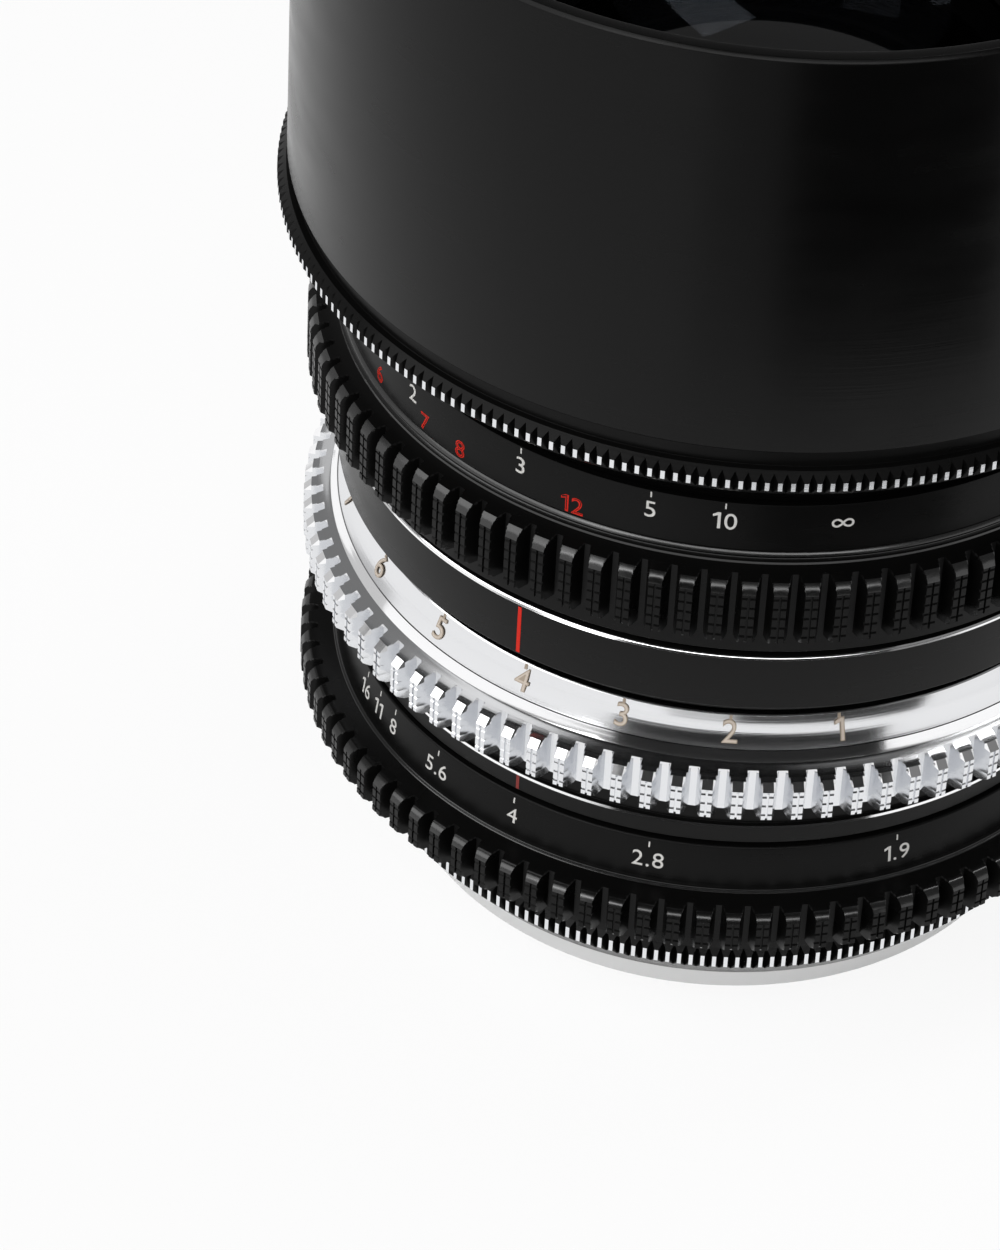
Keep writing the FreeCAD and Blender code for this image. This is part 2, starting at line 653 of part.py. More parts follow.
# Clamp ring with the fine grip, and the hood with its filter thread.
front_band = grip_band(
    "FrontGrip", total("grip_radius"), sizes["grip_count"], sizes["grip_groove"], total("grip_z"),
    sizes["grip_under"], sizes["grip_land"], sizes["grip_chamfer"], (1.0, 1.0),
    total("skirt_outer"), -0.5774)
front_low = turned("FrontGripLow", [
    ("skirt_outer", "grip_z"), ("grip_radius - grip_groove - 0.4", "grip_z"),
    ("grip_radius - grip_groove - 0.02", "frontgrip_low"), ("skirt_outer", "frontgrip_low")])
front_high = turned("FrontGripHigh", [
    ("skirt_outer", "frontgrip_high"), ("grip_radius - grip_groove - 0.02", "frontgrip_high"),
    ("grip_radius - grip_chamfer", "grip_top"), ("hood_neck", "grip_top"), ("hood_neck", "hood_z"),
    ("skirt_outer", "hood_z")])
hood_clamp_ring = joined("hood_clamp_ring", [front_band, front_low, front_high])
hood_barrel, _ = turned("hood_barrel", [
    ("skirt_outer", "hood_z"), ("hood_radius - 0.25", "hood_z"), ("hood_radius", "hood_z + 0.25"),
    ("hood_radius", "hood_top - 0.8"), ("hood_radius - 0.75", "hood_top"),
    ("filter_bore + 0.3", "hood_top"), ("filter_bore", "hood_top - 0.3"),
    ("filter_bore", "hood_top - filter_depth"), ("hood_bore", "hood_top - filter_depth - 0.5"),
    ("hood_bore", "hood_floor_top"), ("skirt_outer", "hood_floor_top")])

# Front cell, cemented pair of lenses, their ring and the blank trim ring.
front_cell, _ = turned("front_cell", [
    ("front_glass - 1.9", "flint_z - 4"), ("front_glass + 2", "flint_z - 4"),
    ("front_glass + 2", "flint_z - 1"), ("block_bore", "flint_z - 1"),
    ("block_bore", "hood_floor_top"), ("hood_bore - 0.6", "hood_floor_top"),
    ("hood_bore - 0.6", "cell_flange_top"), ("front_glass + 4", "cell_flange_top"),
    ("front_glass + 4", "glass_front_z + 1.2"), ("front_glass", "glass_front_z + 1.2"),
    ("front_glass", "flint_z"), ("front_glass - 1.9", "flint_z")])
front_trim_ring, _ = turned("front_trim_ring", [
    ("front_glass + 1.2", "glass_front_z + 1.2"), ("hood_bore", "glass_front_z + 1.2"),
    ("hood_bore", "glass_front_z + 2.2"), ("front_glass + 3", "glass_front_z + 2.2"),
    ("front_glass + 1.2", "glass_front_z + 1.6")])


def disc(name, radius, low, high):
    """A plain round blank of glass."""
    blank = primitive("Cylinder", name, Radius=radius, z=low)
    blank.setExpression("Height", linked(high) + " - (" + linked(low) + ")")
    return blank


def ball(name, radius, middle):
    """The ball that shapes one face of a lens."""
    return primitive("Sphere", name, Radius=radius, z=middle)


crown = doc.addObject("Part::MultiCommon", "front_crown_lens")
crown.Shapes = [
    disc("CrownBlank", "front_glass", "cement_z", "glass_front_z"),
    ball("CrownFront", "crown_front_bend", "glass_front_z - crown_front_bend"),
    ball("CrownRear", "cement_bend", "cement_z + cement_bend")]
flint = drilled("front_flint_lens", disc("FlintBlank", "front_glass", "flint_z", "cement_z + 6"),
                ball("FlintFront", "cement_bend", "cement_z + cement_bend"))
front_lens_retainer, _ = turned("front_lens_retainer", [
    ("front_glass", "glass_front_z - 3.0"), ("front_glass", "glass_front_z + 0.6"),
    ("front_glass - 0.7", "glass_front_z + 0.6"), ("front_glass - 1.5", "glass_front_z - 3.0")])

# Rear cell with its lens.
rear_cell, _ = turned("rear_cell", [
    ("rear_glass - 0.7", "block_z"), ("block_bore", "block_z"), ("block_bore", "rear_flange_top"),
    ("cam_bore - run_gap", "rear_flange_top"), ("cam_bore - run_gap", "cell_low - air"),
    ("cam_bore - 1.3", "cell_low - air"), ("cam_bore - 1.3", "rear_flange_top"),
    ("rear_glass + 2.8", "rear_flange_top"), ("rear_glass + 2.8", "cell_low - air"),
    ("rear_glass", "cell_low - air"), ("rear_glass", "block_z + 0.7"),
    ("rear_glass - 0.7", "block_z + 0.7")])
rear_lens = doc.addObject("Part::MultiCommon", "rear_lens")
rear_lens.Shapes = [
    disc("RearBlank", "rear_glass", "block_z + 0.7", "cell_low - 0.9"),
    ball("RearBall", "rear_glass_bend", "cell_low - 0.9 - rear_glass_bend")]
rear_lens_retainer, _ = turned("rear_lens_retainer", box_outline(
    "rear_glass - 1.2", "rear_glass", "cell_low - 2.6", "cell_low - 0.9"))

# Bokeh cell on three pins, inside the cam sleeve that the bokeh ring turns.
guide_pins = joined("bokeh_guide_pins", [
    radial_pin("GuidePin%d" % index, "cam_bore - 1.6", "block_bore + 0.45", "guide_z", azimuth)
    for index, azimuth in enumerate(guide_azimuths)])
bokeh_cell_blank = turned("BokehCellBlank", [
    ("bokeh_glass - 0.8", "bokeh_cell_z"), ("cam_bore - run_gap", "bokeh_cell_z"),
    ("cam_bore - run_gap", "bokeh_cell_top"), ("bokeh_glass", "bokeh_cell_top"),
    ("bokeh_glass", "bokeh_cell_z + 1.4"), ("bokeh_glass - 0.8", "bokeh_cell_z + 1.4")])
bokeh_cell = drilled("bokeh_cell", bokeh_cell_blank, guide_pins)
bokeh_front = drilled("BokehFront", disc("BokehBlankGlass", "bokeh_glass", "bokeh_cell_z + 1.4",
                                         "bokeh_cell_top - 3"),
                      ball("BokehBallFront", "bokeh_glass_bend",
                           "bokeh_cell_top - 4.8 + bokeh_glass_bend"))
bokeh_lens = drilled("bokeh_lens", bokeh_front,
                     ball("BokehBallRear", "bokeh_glass_bend",
                          "bokeh_cell_z + 3.2 - bokeh_glass_bend"))
bokeh_cell_retainer, _ = turned("bokeh_cell_retainer", box_outline(
    "bokeh_glass - 0.9", "bokeh_glass", "bokeh_cell_top - 3", "bokeh_cell_top - 1.2"))

cam = turned("CamSleeveBlank", box_outline("cam_bore", "cam_outer", "cam_z", "cam_top"))
slot_side = math.degrees((sizes["pin_radius"] + sizes["run_gap"]) / (total("cam_outer") - 0.6))
window(cam, "DriveSlot", "cam_bore - 0.5", "cam_outer + 0.5", "bokeh_pin_z - block_forward - 1.4",
       "bokeh_pin_z + block_back + 1.4", 110, 2 * slot_side)


def helical_slot(name, azimuth):
    """A slot that climbs to the right by the cell's travel while the sleeve makes its turn."""
    rise = sizes["bokeh_travel"] / sizes["bokeh_turn"]
    low, high = total("cam_bore") - 0.5, total("cam_outer") + 0.5
    reach = sizes["bokeh_turn"] + slot_side * 1.6
    arc = (low + high) / 2 * math.radians(1)
    half = (sizes["pin_radius"] + sizes["run_gap"]) / math.cos(math.atan(rise / arc))
    helix = Part.makeHelix(rise * 360, 2 * reach * rise, (low + high) / 2)
    corners = [FreeCAD.Vector(r, 0, z) for r, z in
               ((low, -half), (high, -half), (high, half), (low, half))]
    section = Part.makePolygon(corners + corners[:1])
    swept = Part.Wire(helix.Edges).makePipeShell([section], True, True)
    swept.rotate(FreeCAD.Vector(), FreeCAD.Vector(0, 0, 1), azimuth - 90 - reach)
    swept.translate(FreeCAD.Vector(0, 0, total("guide_z") - reach * rise))
    tool = doc.addObject("Part::Feature", name)
    tool.Shape = swept
    return tool


helical_slots = joined("HelicalSlots", [
    helical_slot("HelicalSlot%d" % index, azimuth) for index, azimuth in enumerate(guide_azimuths)])
bokeh_cam_sleeve = drilled("bokeh_cam_sleeve", cam, helical_slots)
cam_keeper = turned("CamKeeperBlank", [
    ("cam_bore - 1.3", "bokeh_cell_top + bokeh_travel + 1"),
    ("cam_bore - run_gap", "bokeh_cell_top + bokeh_travel + 1"),
    ("cam_bore - run_gap", "cam_keeper_z"), ("block_bore", "cam_keeper_z"),
    ("block_bore", "cam_keeper_top"), ("cam_bore - 1.3", "cam_keeper_top")])
cam_keeper[0].Label = "cam_keeper"
bar_arc = sweep + 2 * sizes["bar_half_angle"] + 4
window(cam_keeper, "BarRoom", "arc_inner", "block_bore + 1", "cam_keeper_z - 1",
       "cam_keeper_top + 1", drift, bar_arc)

# Iris: a cup with the blade pivots, twelve blades and the ring that turns with the aperture ring.
plate = turned("IrisPlateBlank", [
    ("blade_bore + 0.7", "plate_z"), ("block_bore", "plate_z"),
    ("block_bore", "iris_ring_z - air"), ("block_bore - 0.8", "iris_ring_z - air"),
    ("block_bore - 0.8", "plate_top"), ("blade_bore + 0.7", "plate_top")])
window(plate, "BarRoomPlate", "arc_inner", "block_bore + 1", "plate_z - 1", "iris_ring_z + 1",
       drift, bar_arc)
pivot_holes = []
for index in range(int(sizes["blade_count"])):
    hole = doc.addObject("Part::Cylinder", "PivotHole%d" % index)
    hole.setExpression("Radius", "Sizes.blade_pin + 0.05")
    hole.Height = 3.0
    hole.Placement.Base = around(360 / sizes["blade_count"] * index, total("blade_pivot"),
                                 total("plate_z") - 1)
    pivot_holes.append(hole)
iris_plate = drilled("iris_plate", plate, joined("PivotHoles", pivot_holes))

iris_ring = turned("IrisRingBlank", [
    ("blade_bore + 0.7", "iris_ring_z"), ("blade_bore + 1.7", "iris_ring_z"),
    ("blade_bore + 1.7", "iris_ring_roof"), ("block_bore - 1.1", "iris_ring_roof"),
    ("block_bore - 1.1", "iris_ring_z"), ("block_bore - run_gap", "iris_ring_z"),
    ("block_bore - run_gap", "iris_ring_top"), ("blade_bore + 0.7", "iris_ring_top")])
bar_section = profile(iris_ring[0], "BarSection", box_outline(
    "bar_inner", "bar_outer", "bar_z", "iris_ring_z + 1"), iris_ring[1], 0)
bar = iris_ring[0].newObject("PartDesign::Revolution", "Bar")
bar.Profile = bar_section
bar.ReferenceAxis = (bar_section, ["V_Axis"])
bar.Midplane = True
bar.setExpression("Angle", "2 * Sizes.bar_half_angle")
iris_ring[0].Label = "iris_ring"
fork_side = math.degrees((sizes["pin_radius"] + sizes["run_gap"]) / (total("bar_inner") + 0.4))
window(iris_ring, "Fork", "bar_inner - 0.5", "bar_outer + 0.5", "bar_z - 1", "fork_top", 0,
       2 * fork_side)
iris_keeper, _ = turned("iris_keeper", box_outline(
    "block_bore - 4", "block_bore", "iris_keeper_z", "iris_keeper_top"))

blades = []
for index in range(int(sizes["blade_count"])):
    height = total("first_blade") + index * sizes["blade_pitch"]
    pivot = FreeCAD.Vector(total("blade_pivot"), 0, 0)
    drive_turn = math.radians(8.5)
    drive = FreeCAD.Vector(math.cos(drive_turn), math.sin(drive_turn), 0) * (total("blade_pivot") + 0.2)
    number = "%02d" % (index + 1)
    outer = doc.addObject("Part::Cylinder", "BladeOuter" + number)
    outer.setExpression("Radius", linked("blade_edge"))
    outer.setExpression("Height", "Sizes.blade_sheet")
    outer.setExpression("Angle", "Sizes.blade_span")
    inner = doc.addObject("Part::Cylinder", "BladeInner" + number)
    inner.setExpression("Radius", linked("blade_bore"))
    inner.setExpression("Height", "Sizes.blade_sheet")
    arc = drilled("BladeArc" + number, outer, inner)
    lobes = []
    for word, place, radius in (("Pivot", pivot, 1.1), ("Drive", drive, 0.9)):
        lobe = doc.addObject("Part::Cylinder", "Blade" + word + "Lobe" + number)
        lobe.Radius = radius
        lobe.setExpression("Height", "Sizes.blade_sheet")
        lobe.Placement.Base = place
        lobes.append(lobe)
    web = doc.addObject("Part::Cylinder", "BladeWeb" + number)
    web.setExpression("Radius", linked("blade_pivot + 0.5"))
    web.setExpression("Height", "Sizes.blade_sheet")
    web.Angle = 8.5
    web_arc = drilled("BladeWebArc" + number, web, inner)
    pivot_pin = doc.addObject("Part::Cylinder", "BladePivotPin" + number)
    pivot_pin.setExpression("Radius", "Sizes.blade_pin")
    pivot_pin.Height = height - total("plate_z") - 0.2
    pivot_pin.Placement.Base = pivot + FreeCAD.Vector(0, 0, total("plate_z") + 0.2 - height)
    drive_pin = doc.addObject("Part::Cylinder", "BladeDrivePin" + number)
    drive_pin.setExpression("Radius", "Sizes.blade_pin")
    drive_pin.Height = total("iris_ring_roof") - 0.5 - height
    drive_pin.Placement.Base = drive
    blade = joined("iris_blade_" + number, [arc, web_arc, pivot_pin, drive_pin] + lobes)
    azimuth = 360 / sizes["blade_count"] * index
    stand = FreeCAD.Placement(FreeCAD.Vector(0, 0, height),
                              FreeCAD.Rotation(FreeCAD.Vector(0, 0, 1), azimuth - 90))
    swing = FreeCAD.Placement(FreeCAD.Vector(),
                              FreeCAD.Rotation(FreeCAD.Vector(0, 0, 1), sizes["blade_rest_turn"]), pivot)
    blade.Placement = stand.multiply(swing)
    blades.append(blade)

doc.recompute()

nodes = [
    mount_flange, mount_screws, rear_light_baffle, rear_knurl_ring, barrel[0], aperture_keeper,
    index_sleeve_rear, index_sleeve_front, focus_keeper, guide_keys, aperture_ring, aperture_pin,
    bokeh_ring, bokeh_pin, focus_ring, focus_nut, block[0], hood_clamp_ring, hood_barrel,
    front_cell, front_trim_ring, crown, flint, front_lens_retainer, rear_cell, rear_lens,
    rear_lens_retainer, guide_pins, bokeh_cell, bokeh_lens, bokeh_cell_retainer, bokeh_cam_sleeve,
    cam_keeper[0], iris_plate, iris_ring[0], iris_keeper] + blades

for item in doc.Objects:
    if "Invalid" in item.State or "Error" in item.State:
        raise RuntimeError("not built: " + item.Label)
for node in nodes:
    if node.Shape.isNull() or not node.Shape.isValid():
        raise RuntimeError("bad shape: " + node.Label)
    node.Shape.exportStep("parts/" + node.Label + ".step")
    box = node.Shape.BoundBox
    print("%-22s %8.0f mm3  z %7.2f to %7.2f  out to %6.2f" % (
        node.Label, node.Shape.Volume, box.ZMin, box.ZMax, box.XMax))
print(len(nodes), "pieces")
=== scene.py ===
# %% [markdown]
# # A portrait lens with three geared rings
# The lens stands on its rear mount and is seen from above. Its solids, bodies and joints come
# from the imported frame; this lesson dresses them. Everything is a surface of revolution or a
# pattern that repeats around the axis, so almost every piece is one grid of points: one
# parameter runs around the axis, the other runs along the section.

# %% Load the frame
import math

import bpy
import numpy as np
from mathutils import Matrix, Vector


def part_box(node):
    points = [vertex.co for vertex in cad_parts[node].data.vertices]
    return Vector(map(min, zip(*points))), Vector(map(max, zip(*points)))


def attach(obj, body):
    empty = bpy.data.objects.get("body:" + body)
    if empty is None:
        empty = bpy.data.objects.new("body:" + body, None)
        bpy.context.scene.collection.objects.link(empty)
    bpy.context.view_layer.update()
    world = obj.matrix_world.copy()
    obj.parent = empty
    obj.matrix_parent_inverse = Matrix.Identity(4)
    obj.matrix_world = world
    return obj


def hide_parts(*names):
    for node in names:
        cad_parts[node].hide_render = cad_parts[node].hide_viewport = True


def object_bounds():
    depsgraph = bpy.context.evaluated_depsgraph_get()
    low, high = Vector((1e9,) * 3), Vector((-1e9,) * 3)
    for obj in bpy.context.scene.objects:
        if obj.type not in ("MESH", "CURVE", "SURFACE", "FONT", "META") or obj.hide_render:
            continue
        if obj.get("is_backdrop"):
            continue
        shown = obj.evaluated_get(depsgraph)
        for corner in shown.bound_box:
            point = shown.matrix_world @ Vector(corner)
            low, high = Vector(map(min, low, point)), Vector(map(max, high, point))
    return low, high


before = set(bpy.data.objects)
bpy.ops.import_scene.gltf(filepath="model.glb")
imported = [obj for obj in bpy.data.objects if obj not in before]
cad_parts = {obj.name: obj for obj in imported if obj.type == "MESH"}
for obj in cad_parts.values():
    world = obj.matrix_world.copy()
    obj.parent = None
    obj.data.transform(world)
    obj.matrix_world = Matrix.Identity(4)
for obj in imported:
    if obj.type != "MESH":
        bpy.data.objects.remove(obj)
cad_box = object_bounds()
MM = 0.001

# %% [markdown]
# ## Camera
# The camera was found from the ellipses that the rings draw in the photograph. It looks down at
# about 41 degrees from a little over half a metre, so it is stated as a place, a heading, a
# tilt and a small roll. A Track To constraint would hide the roll, so the axes are worked out.

# %% The camera's axes and lens
IMAGE_HEIGHT, FOCAL_PIXELS, SENSOR_WIDTH = 1250, 5481.3, 36.0
distance, height, azimuth = 375.8, 341.2, math.radians(28.8)
pan, tilt, roll = math.radians(-3.110), math.radians(40.970), math.radians(3.0515)
turn = Matrix.Rotation(azimuth, 3, "Z")
forward = turn @ Vector((math.sin(pan) * math.cos(tilt), math.cos(pan) * math.cos(tilt), -math.sin(tilt)))
level = turn @ Vector((math.cos(pan), -math.sin(pan), 0))
down = forward.cross(level)
right = math.cos(roll) * level - math.sin(roll) * down
below = math.sin(roll) * level + math.cos(roll) * down
camera_data = bpy.data.cameras.new("camera")
camera_data.sensor_width = SENSOR_WIDTH
camera_data.lens = FOCAL_PIXELS / IMAGE_HEIGHT * SENSOR_WIDTH
camera = bpy.data.objects.new("camera", camera_data)
axes = Matrix((right, -below, -forward)).transposed()
camera.matrix_world = axes.to_4x4()
camera.location = turn @ Vector((0, -distance * MM, height * MM))
bpy.context.scene.collection.objects.link(camera)
bpy.context.scene.camera = camera
print("camera at", [round(v, 4) for v in camera.location], "lens", round(camera_data.lens, 2))

# %% [markdown]
# ## From a grid of points to a mesh
# A ring's section is a closed line, and turning it closes the grid the other way too, so the
# mesh has no seams and no poles. The helpers below take the grid as one array, which is quicker
# than a loop over points. The sign of the enclosed volume tells whether the faces look outwards,
# and the grid is flipped if not. Spinning an edge in an editor would give the same ring, but
# with a seam to merge.


# %% Grids closed both ways
def mesh_from(name, points, faces, material, body, node=None, sharp=30):
    """Makes a piece from corner points and faces, in millimetres, smooth except at sharp edges.

    The material may be a list, whose first item the faces use until they are given another.
    """
    mesh = bpy.data.meshes.new(name)
    mesh.from_pydata((points * MM).tolist(), [], faces.tolist() if hasattr(faces, "tolist") else faces)
    for item in material if isinstance(material, list) else [material]:
        mesh.materials.append(item)
    mesh.polygons.foreach_set("use_smooth", np.ones(len(mesh.polygons), dtype=bool))
    mesh.set_sharp_from_angle(angle=math.radians(sharp))
    mesh.update()
    piece = bpy.data.objects.new(name, mesh)
    bpy.context.scene.collection.objects.link(piece)
    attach(piece, body)
    if node:
        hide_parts(node)
    return piece


def closed_grid(grid):
    """Points, quads and volume of a grid (around, along, 3) that closes both ways.

    The volume is a sixth of the sum over triangles of a . (b x c), positive when faces look out,
    so the quads are turned over where it comes out negative.
    """
    around, along = grid.shape[:2]
    u, v = np.meshgrid(np.arange(around), np.arange(along), indexing="ij")
    next_u, next_v = (u + 1) % around, (v + 1) % along
    quads = np.stack([u * along + v, next_u * along + v, next_u * along + next_v, u * along + next_v], -1)
    quads = quads.reshape(-1, 4)
    points = grid.reshape(-1, 3)
    a, b, c, d = (points[quads[:, k]] for k in range(4))
    volume = (np.einsum("ij,ij->", a, np.cross(b, c)) + np.einsum("ij,ij->", a, np.cross(c, d))) / 6
    return points, quads if volume > 0 else quads[:, ::-1], abs(volume)


def rounded(outline, steps=4):
    """A closed outline of (radius, height, fillet) with each corner replaced by a short curve.

    The curve is the quadratic blend (1-t)^2 A + 2t(1-t) B + t^2 C between the points A and C
    that lie one fillet before and after the corner B.
    """
    corners = np.array([(r, z) for r, z, f in outline], float)
    line = []
    for index, (r, z, fillet) in enumerate(outline):
        before, corner, after = corners[index - 1], corners[index], corners[(index + 1) % len(corners)]
        if fillet <= 0:
            line.append(corner[None])
            continue
        a = corner + (before - corner) / np.linalg.norm(before - corner) * fillet
        c = corner + (after - corner) / np.linalg.norm(after - corner) * fillet
        t = np.linspace(0, 1, steps)[:, None]
        line.append((1 - t) ** 2 * a + 2 * t * (1 - t) * corner + t ** 2 * c)
    return np.vstack(line)


def repeated(line, count):
    """The same line for each of count directions."""
    return np.broadcast_to(line, (count, len(line)))


def turned(name, outline, material, body, node=None, segments=360, sharp=30):
    """A ring turned from its section: the point (r, z) goes to (r sin a, -r cos a, z)."""
    section = rounded(outline)
    angle = np.linspace(0, 2 * math.pi, segments, endpoint=False)[:, None]
    grid = np.stack([section[:, 0] * np.sin(angle), -section[:, 0] * np.cos(angle),
                     repeated(section[:, 1], segments)], -1)
    points, quads, volume = closed_grid(grid)
    piece = mesh_from(name, points, quads, material, body, node, sharp)
    print("%-20s %6d quads %8.0f mm3" % (name, len(quads), volume))
    return piece


def levels(node):
    """The lowest and highest height of a CAD node, in millimetres."""
    low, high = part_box(node)
    return low.z / MM, high.z / MM


# %% [markdown]
# ## Black anodised aluminium
# The barrel is turned and then anodised black. Turning leaves very fine rings, so the bump and
# the roughness vary quickly along the axis and slowly around it: the noise reads the object's
# coordinates with the height stretched far more than the other two. An anisotropic shader would
# need tangents, and the fine rings give the same streaked highlight in every view.


# %% A helper for node trees, and the black finishes
def finish(name, colour, roughness, metallic=0.0, **sockets):
    """A new material with the shader's plain values set on its own sockets."""
    material = bpy.data.materials.new(name)
    material.use_nodes = True
    shader = material.node_tree.nodes["Principled BSDF"]
    shader.inputs["Base Color"].default_value = (*colour, 1)
    shader.inputs["Roughness"].default_value = roughness
    shader.inputs["Metallic"].default_value = metallic
    for socket, value in sockets.items():
        shader.inputs[socket.replace("_", " ")].default_value = value
    return material, shader


def wire(material, source, output, target, socket):
    """Joins two node sockets."""
    material.node_tree.links.new(source.outputs[output], target.inputs[socket])


def noise(material, scale, stretch, detail=2.0):
    """Noise on object coordinates, stretched by a factor along each axis."""
    nodes = material.node_tree.nodes
    coordinates = nodes.new("ShaderNodeTexCoord")
    mapping = nodes.new("ShaderNodeMapping")
    mapping.inputs["Scale"].default_value = stretch
    texture = nodes.new("ShaderNodeTexNoise")
    texture.inputs["Scale"].default_value = scale
    texture.inputs["Detail"].default_value = detail
    wire(material, coordinates, "Object", mapping, "Vector")
    wire(material, mapping, "Vector", texture, "Vector")
    return texture


def spread(material, texture, low, high, socket_node, socket):
    """Maps a texture's value, mostly between 0.3 and 0.7, to a range of a socket."""
    mapped = material.node_tree.nodes.new("ShaderNodeMapRange")
    mapped.inputs["From Min"].default_value = 0.3
    mapped.inputs["From Max"].default_value = 0.7
    mapped.inputs["To Min"].default_value = low
    mapped.inputs["To Max"].default_value = high
    wire(material, texture, "Fac", mapped, "Value")
    wire(material, mapped, "Result", socket_node, socket)
    return mapped


def bump(material, texture, shader, strength, depth):
    """Raises and lowers the surface by a texture, depth in metres."""
    node = material.node_tree.nodes.new("ShaderNodeBump")
    node.inputs["Strength"].default_value = strength
    node.inputs["Distance"].default_value = depth
    wire(material, texture, "Fac", node, "Height")
    wire(material, node, "Normal", shader, "Normal")


def black(name, tone, roughness, rings=1.0, **sockets):
    """Black anodised metal, a little warm: fine turned rings, and patches of other roughness."""
    material, shader = finish(name, (tone, tone * 0.98, tone * 0.96), roughness, **sockets)
    fine = noise(material, 60, (1, 1, 120))
    bump(material, fine, shader, 0.12 * rings, 0.00004)
    patches = noise(material, 90, (1, 1, 3), 4.0)
    spread(material, patches, roughness * 0.85, roughness * 1.2, shader, "Roughness")
    return material


hood_black = black("hood_black", 0.0012, 0.24, Specular_IOR_Level=0.15)
ring_black = black("ring_black", 0.0028, 0.28, Specular_IOR_Level=0.12)
sleeve_black = black("sleeve_black", 0.0045, 0.28, Specular_IOR_Level=0.13)
deep_black = black("deep_black", 0.0015, 0.5, Specular_IOR_Level=0.06)
turned_black = black("turned_black", 0.003, 0.2, 0.5, Specular_IOR_Level=0.8)
print("black finishes", len(bpy.data.materials))

# %% [markdown]
# ## Bright metal
# The softness ring is bare aluminium, clear anodised. Its scale band is brushed around the
# axis, the teeth are cut and nearly white. The lands of the two fine grips are cut bare after
# anodising, so the same bright metal shows as a row of small light rectangles.


# %% The silver, cut, grey and brass finishes
def metal(name, colour, roughness, ring_depth, drift=0.06):
    """Bare turned metal: rings that vary the bump and the roughness."""
    material, shader = finish(name, colour, roughness, 1.0)
    fine = noise(material, 55, (1, 1, 90), 3.0)
    bump(material, fine, shader, 0.25, ring_depth)
    wide = noise(material, 40, (1, 1, 14), 3.0)
    spread(material, wide, roughness - drift, roughness + drift, shader, "Roughness")
    return material


silver = metal("silver", (0.80, 0.805, 0.82), 0.15, 0.00003, 0.04)
cut_metal = metal("cut_metal", (0.80, 0.81, 0.83), 0.20, 0.00002, 0.04)
flange_grey, grey_shader = finish("flange_grey", (0.76, 0.76, 0.76), 0.5)
bump(flange_grey, noise(flange_grey, 900, (1, 1, 1), 3.0), grey_shader, 0.15, 0.00002)
bare_edge = metal("bare_edge", (0.95, 0.95, 0.96), 0.09, 0.000003, 0.02)
brass = metal("brass", (0.72, 0.55, 0.28), 0.28, 0.00003)
steel = metal("steel", (0.55, 0.55, 0.55), 0.3, 0.00002)
blade_black = black("blade_black", 0.01, 0.5)
print("metals ready")

# %% [markdown]
# ## Paint and glass
# The dials carry plain numbers. White and red paint fills shallow engraving on the black rings;
# on the silver ring the numbers are engraved and left brown-grey with a darker edge. The glass
# is tinted darker than clear glass, partly for its coating and partly as painted shade for the
# dark barrel behind it.


# %% Paints and glass
def grained(name, colour, roughness, grain=3000, strength=0.2, **sockets):
    """A paint or an etched surface, with a fine grain of its own."""
    material, shader = finish(name, colour, roughness, **sockets)
    bump(material, noise(material, grain, (1, 1, 1)), shader, strength, 0.00002)
    return material


white_paint = grained("white_paint", (0.62, 0.61, 0.59), 0.6)
red_paint = grained("red_paint", (0.58, 0.02, 0.01), 0.55, Specular_IOR_Level=0.15)
# The red paint darkened for the rear index line: the darkening is painted shade under the softness ring's
# teeth.
red_with_painted_shade = grained("red_with_painted_shade", (0.20, 0.012, 0.008), 0.5)
etched = grained("etched", (0.54, 0.47, 0.40), 0.5, 2500, 0.3)
etched_edge = grained("etched_edge", (0.34, 0.28, 0.22), 0.55, 2500, 0.3)
# The glass's dark tint is partly its coating and partly painted shade for the dark barrel behind it.
glass, glass_shader = finish("coated_glass", (0.085, 0.093, 0.105), 0.02, Transmission_Weight=1.0,
                             IOR=1.52, Specular_IOR_Level=0.08)
spread(glass, noise(glass, 12, (1, 1, 1)), 0.01, 0.03, glass_shader, "Roughness")
print("paints and glass ready")

# %% [markdown]
# ## Gear rings
# Each of the three rings has 94 teeth. Between two teeth a groove is milled with a cutter that
# leaves a narrow flat floor and sloping flanks, and the groove runs out above the teeth as a tall
# arch. Each tooth's outer face has one slot along its middle and several V cuts across it. The
# shoulder above the teeth has two stretches: the cap that rounds off each tooth, and the hollow
# curve up to the band. All of it is one grid: in each direction around the axis the ring's
# section is cut back to the groove's radius, the row of points where groove and shoulder meet is
# placed exactly there, and a flank has a column at each radius of the cap, so the arch and the
# cap are clean edges. A boolean cut would give far more, and far thinner, faces.

# %% The section and the teeth of a geared ring
TOOTH_COUNT, TIP, BORE = 94, 38.4, 33.0
LAND_CHAMFER, CHAMFER_IN = 0.4, 0.5
SLOT_FLOOR, SLOT_MOUTH, SLOT_DEPTH = 0.085, 0.1, 0.2
CUT_REACH, CUT_DEPTH = 0.12, 0.155


def curved(start, end, sag, count):
    """Points from start to end on a curve that hangs inside the straight line by sag at its middle.

    The offset at the share t of the way is 4 sag t (1 - t), square to the line.
    """
    t = np.linspace(0, 1, count)[:, None]
    along = np.array(end, float) - np.array(start, float)
    inwards = np.array([-along[1], along[0]]) / np.linalg.norm(along)
    return np.array(start) + along * t + inwards * 4 * sag * t * (1 - t)


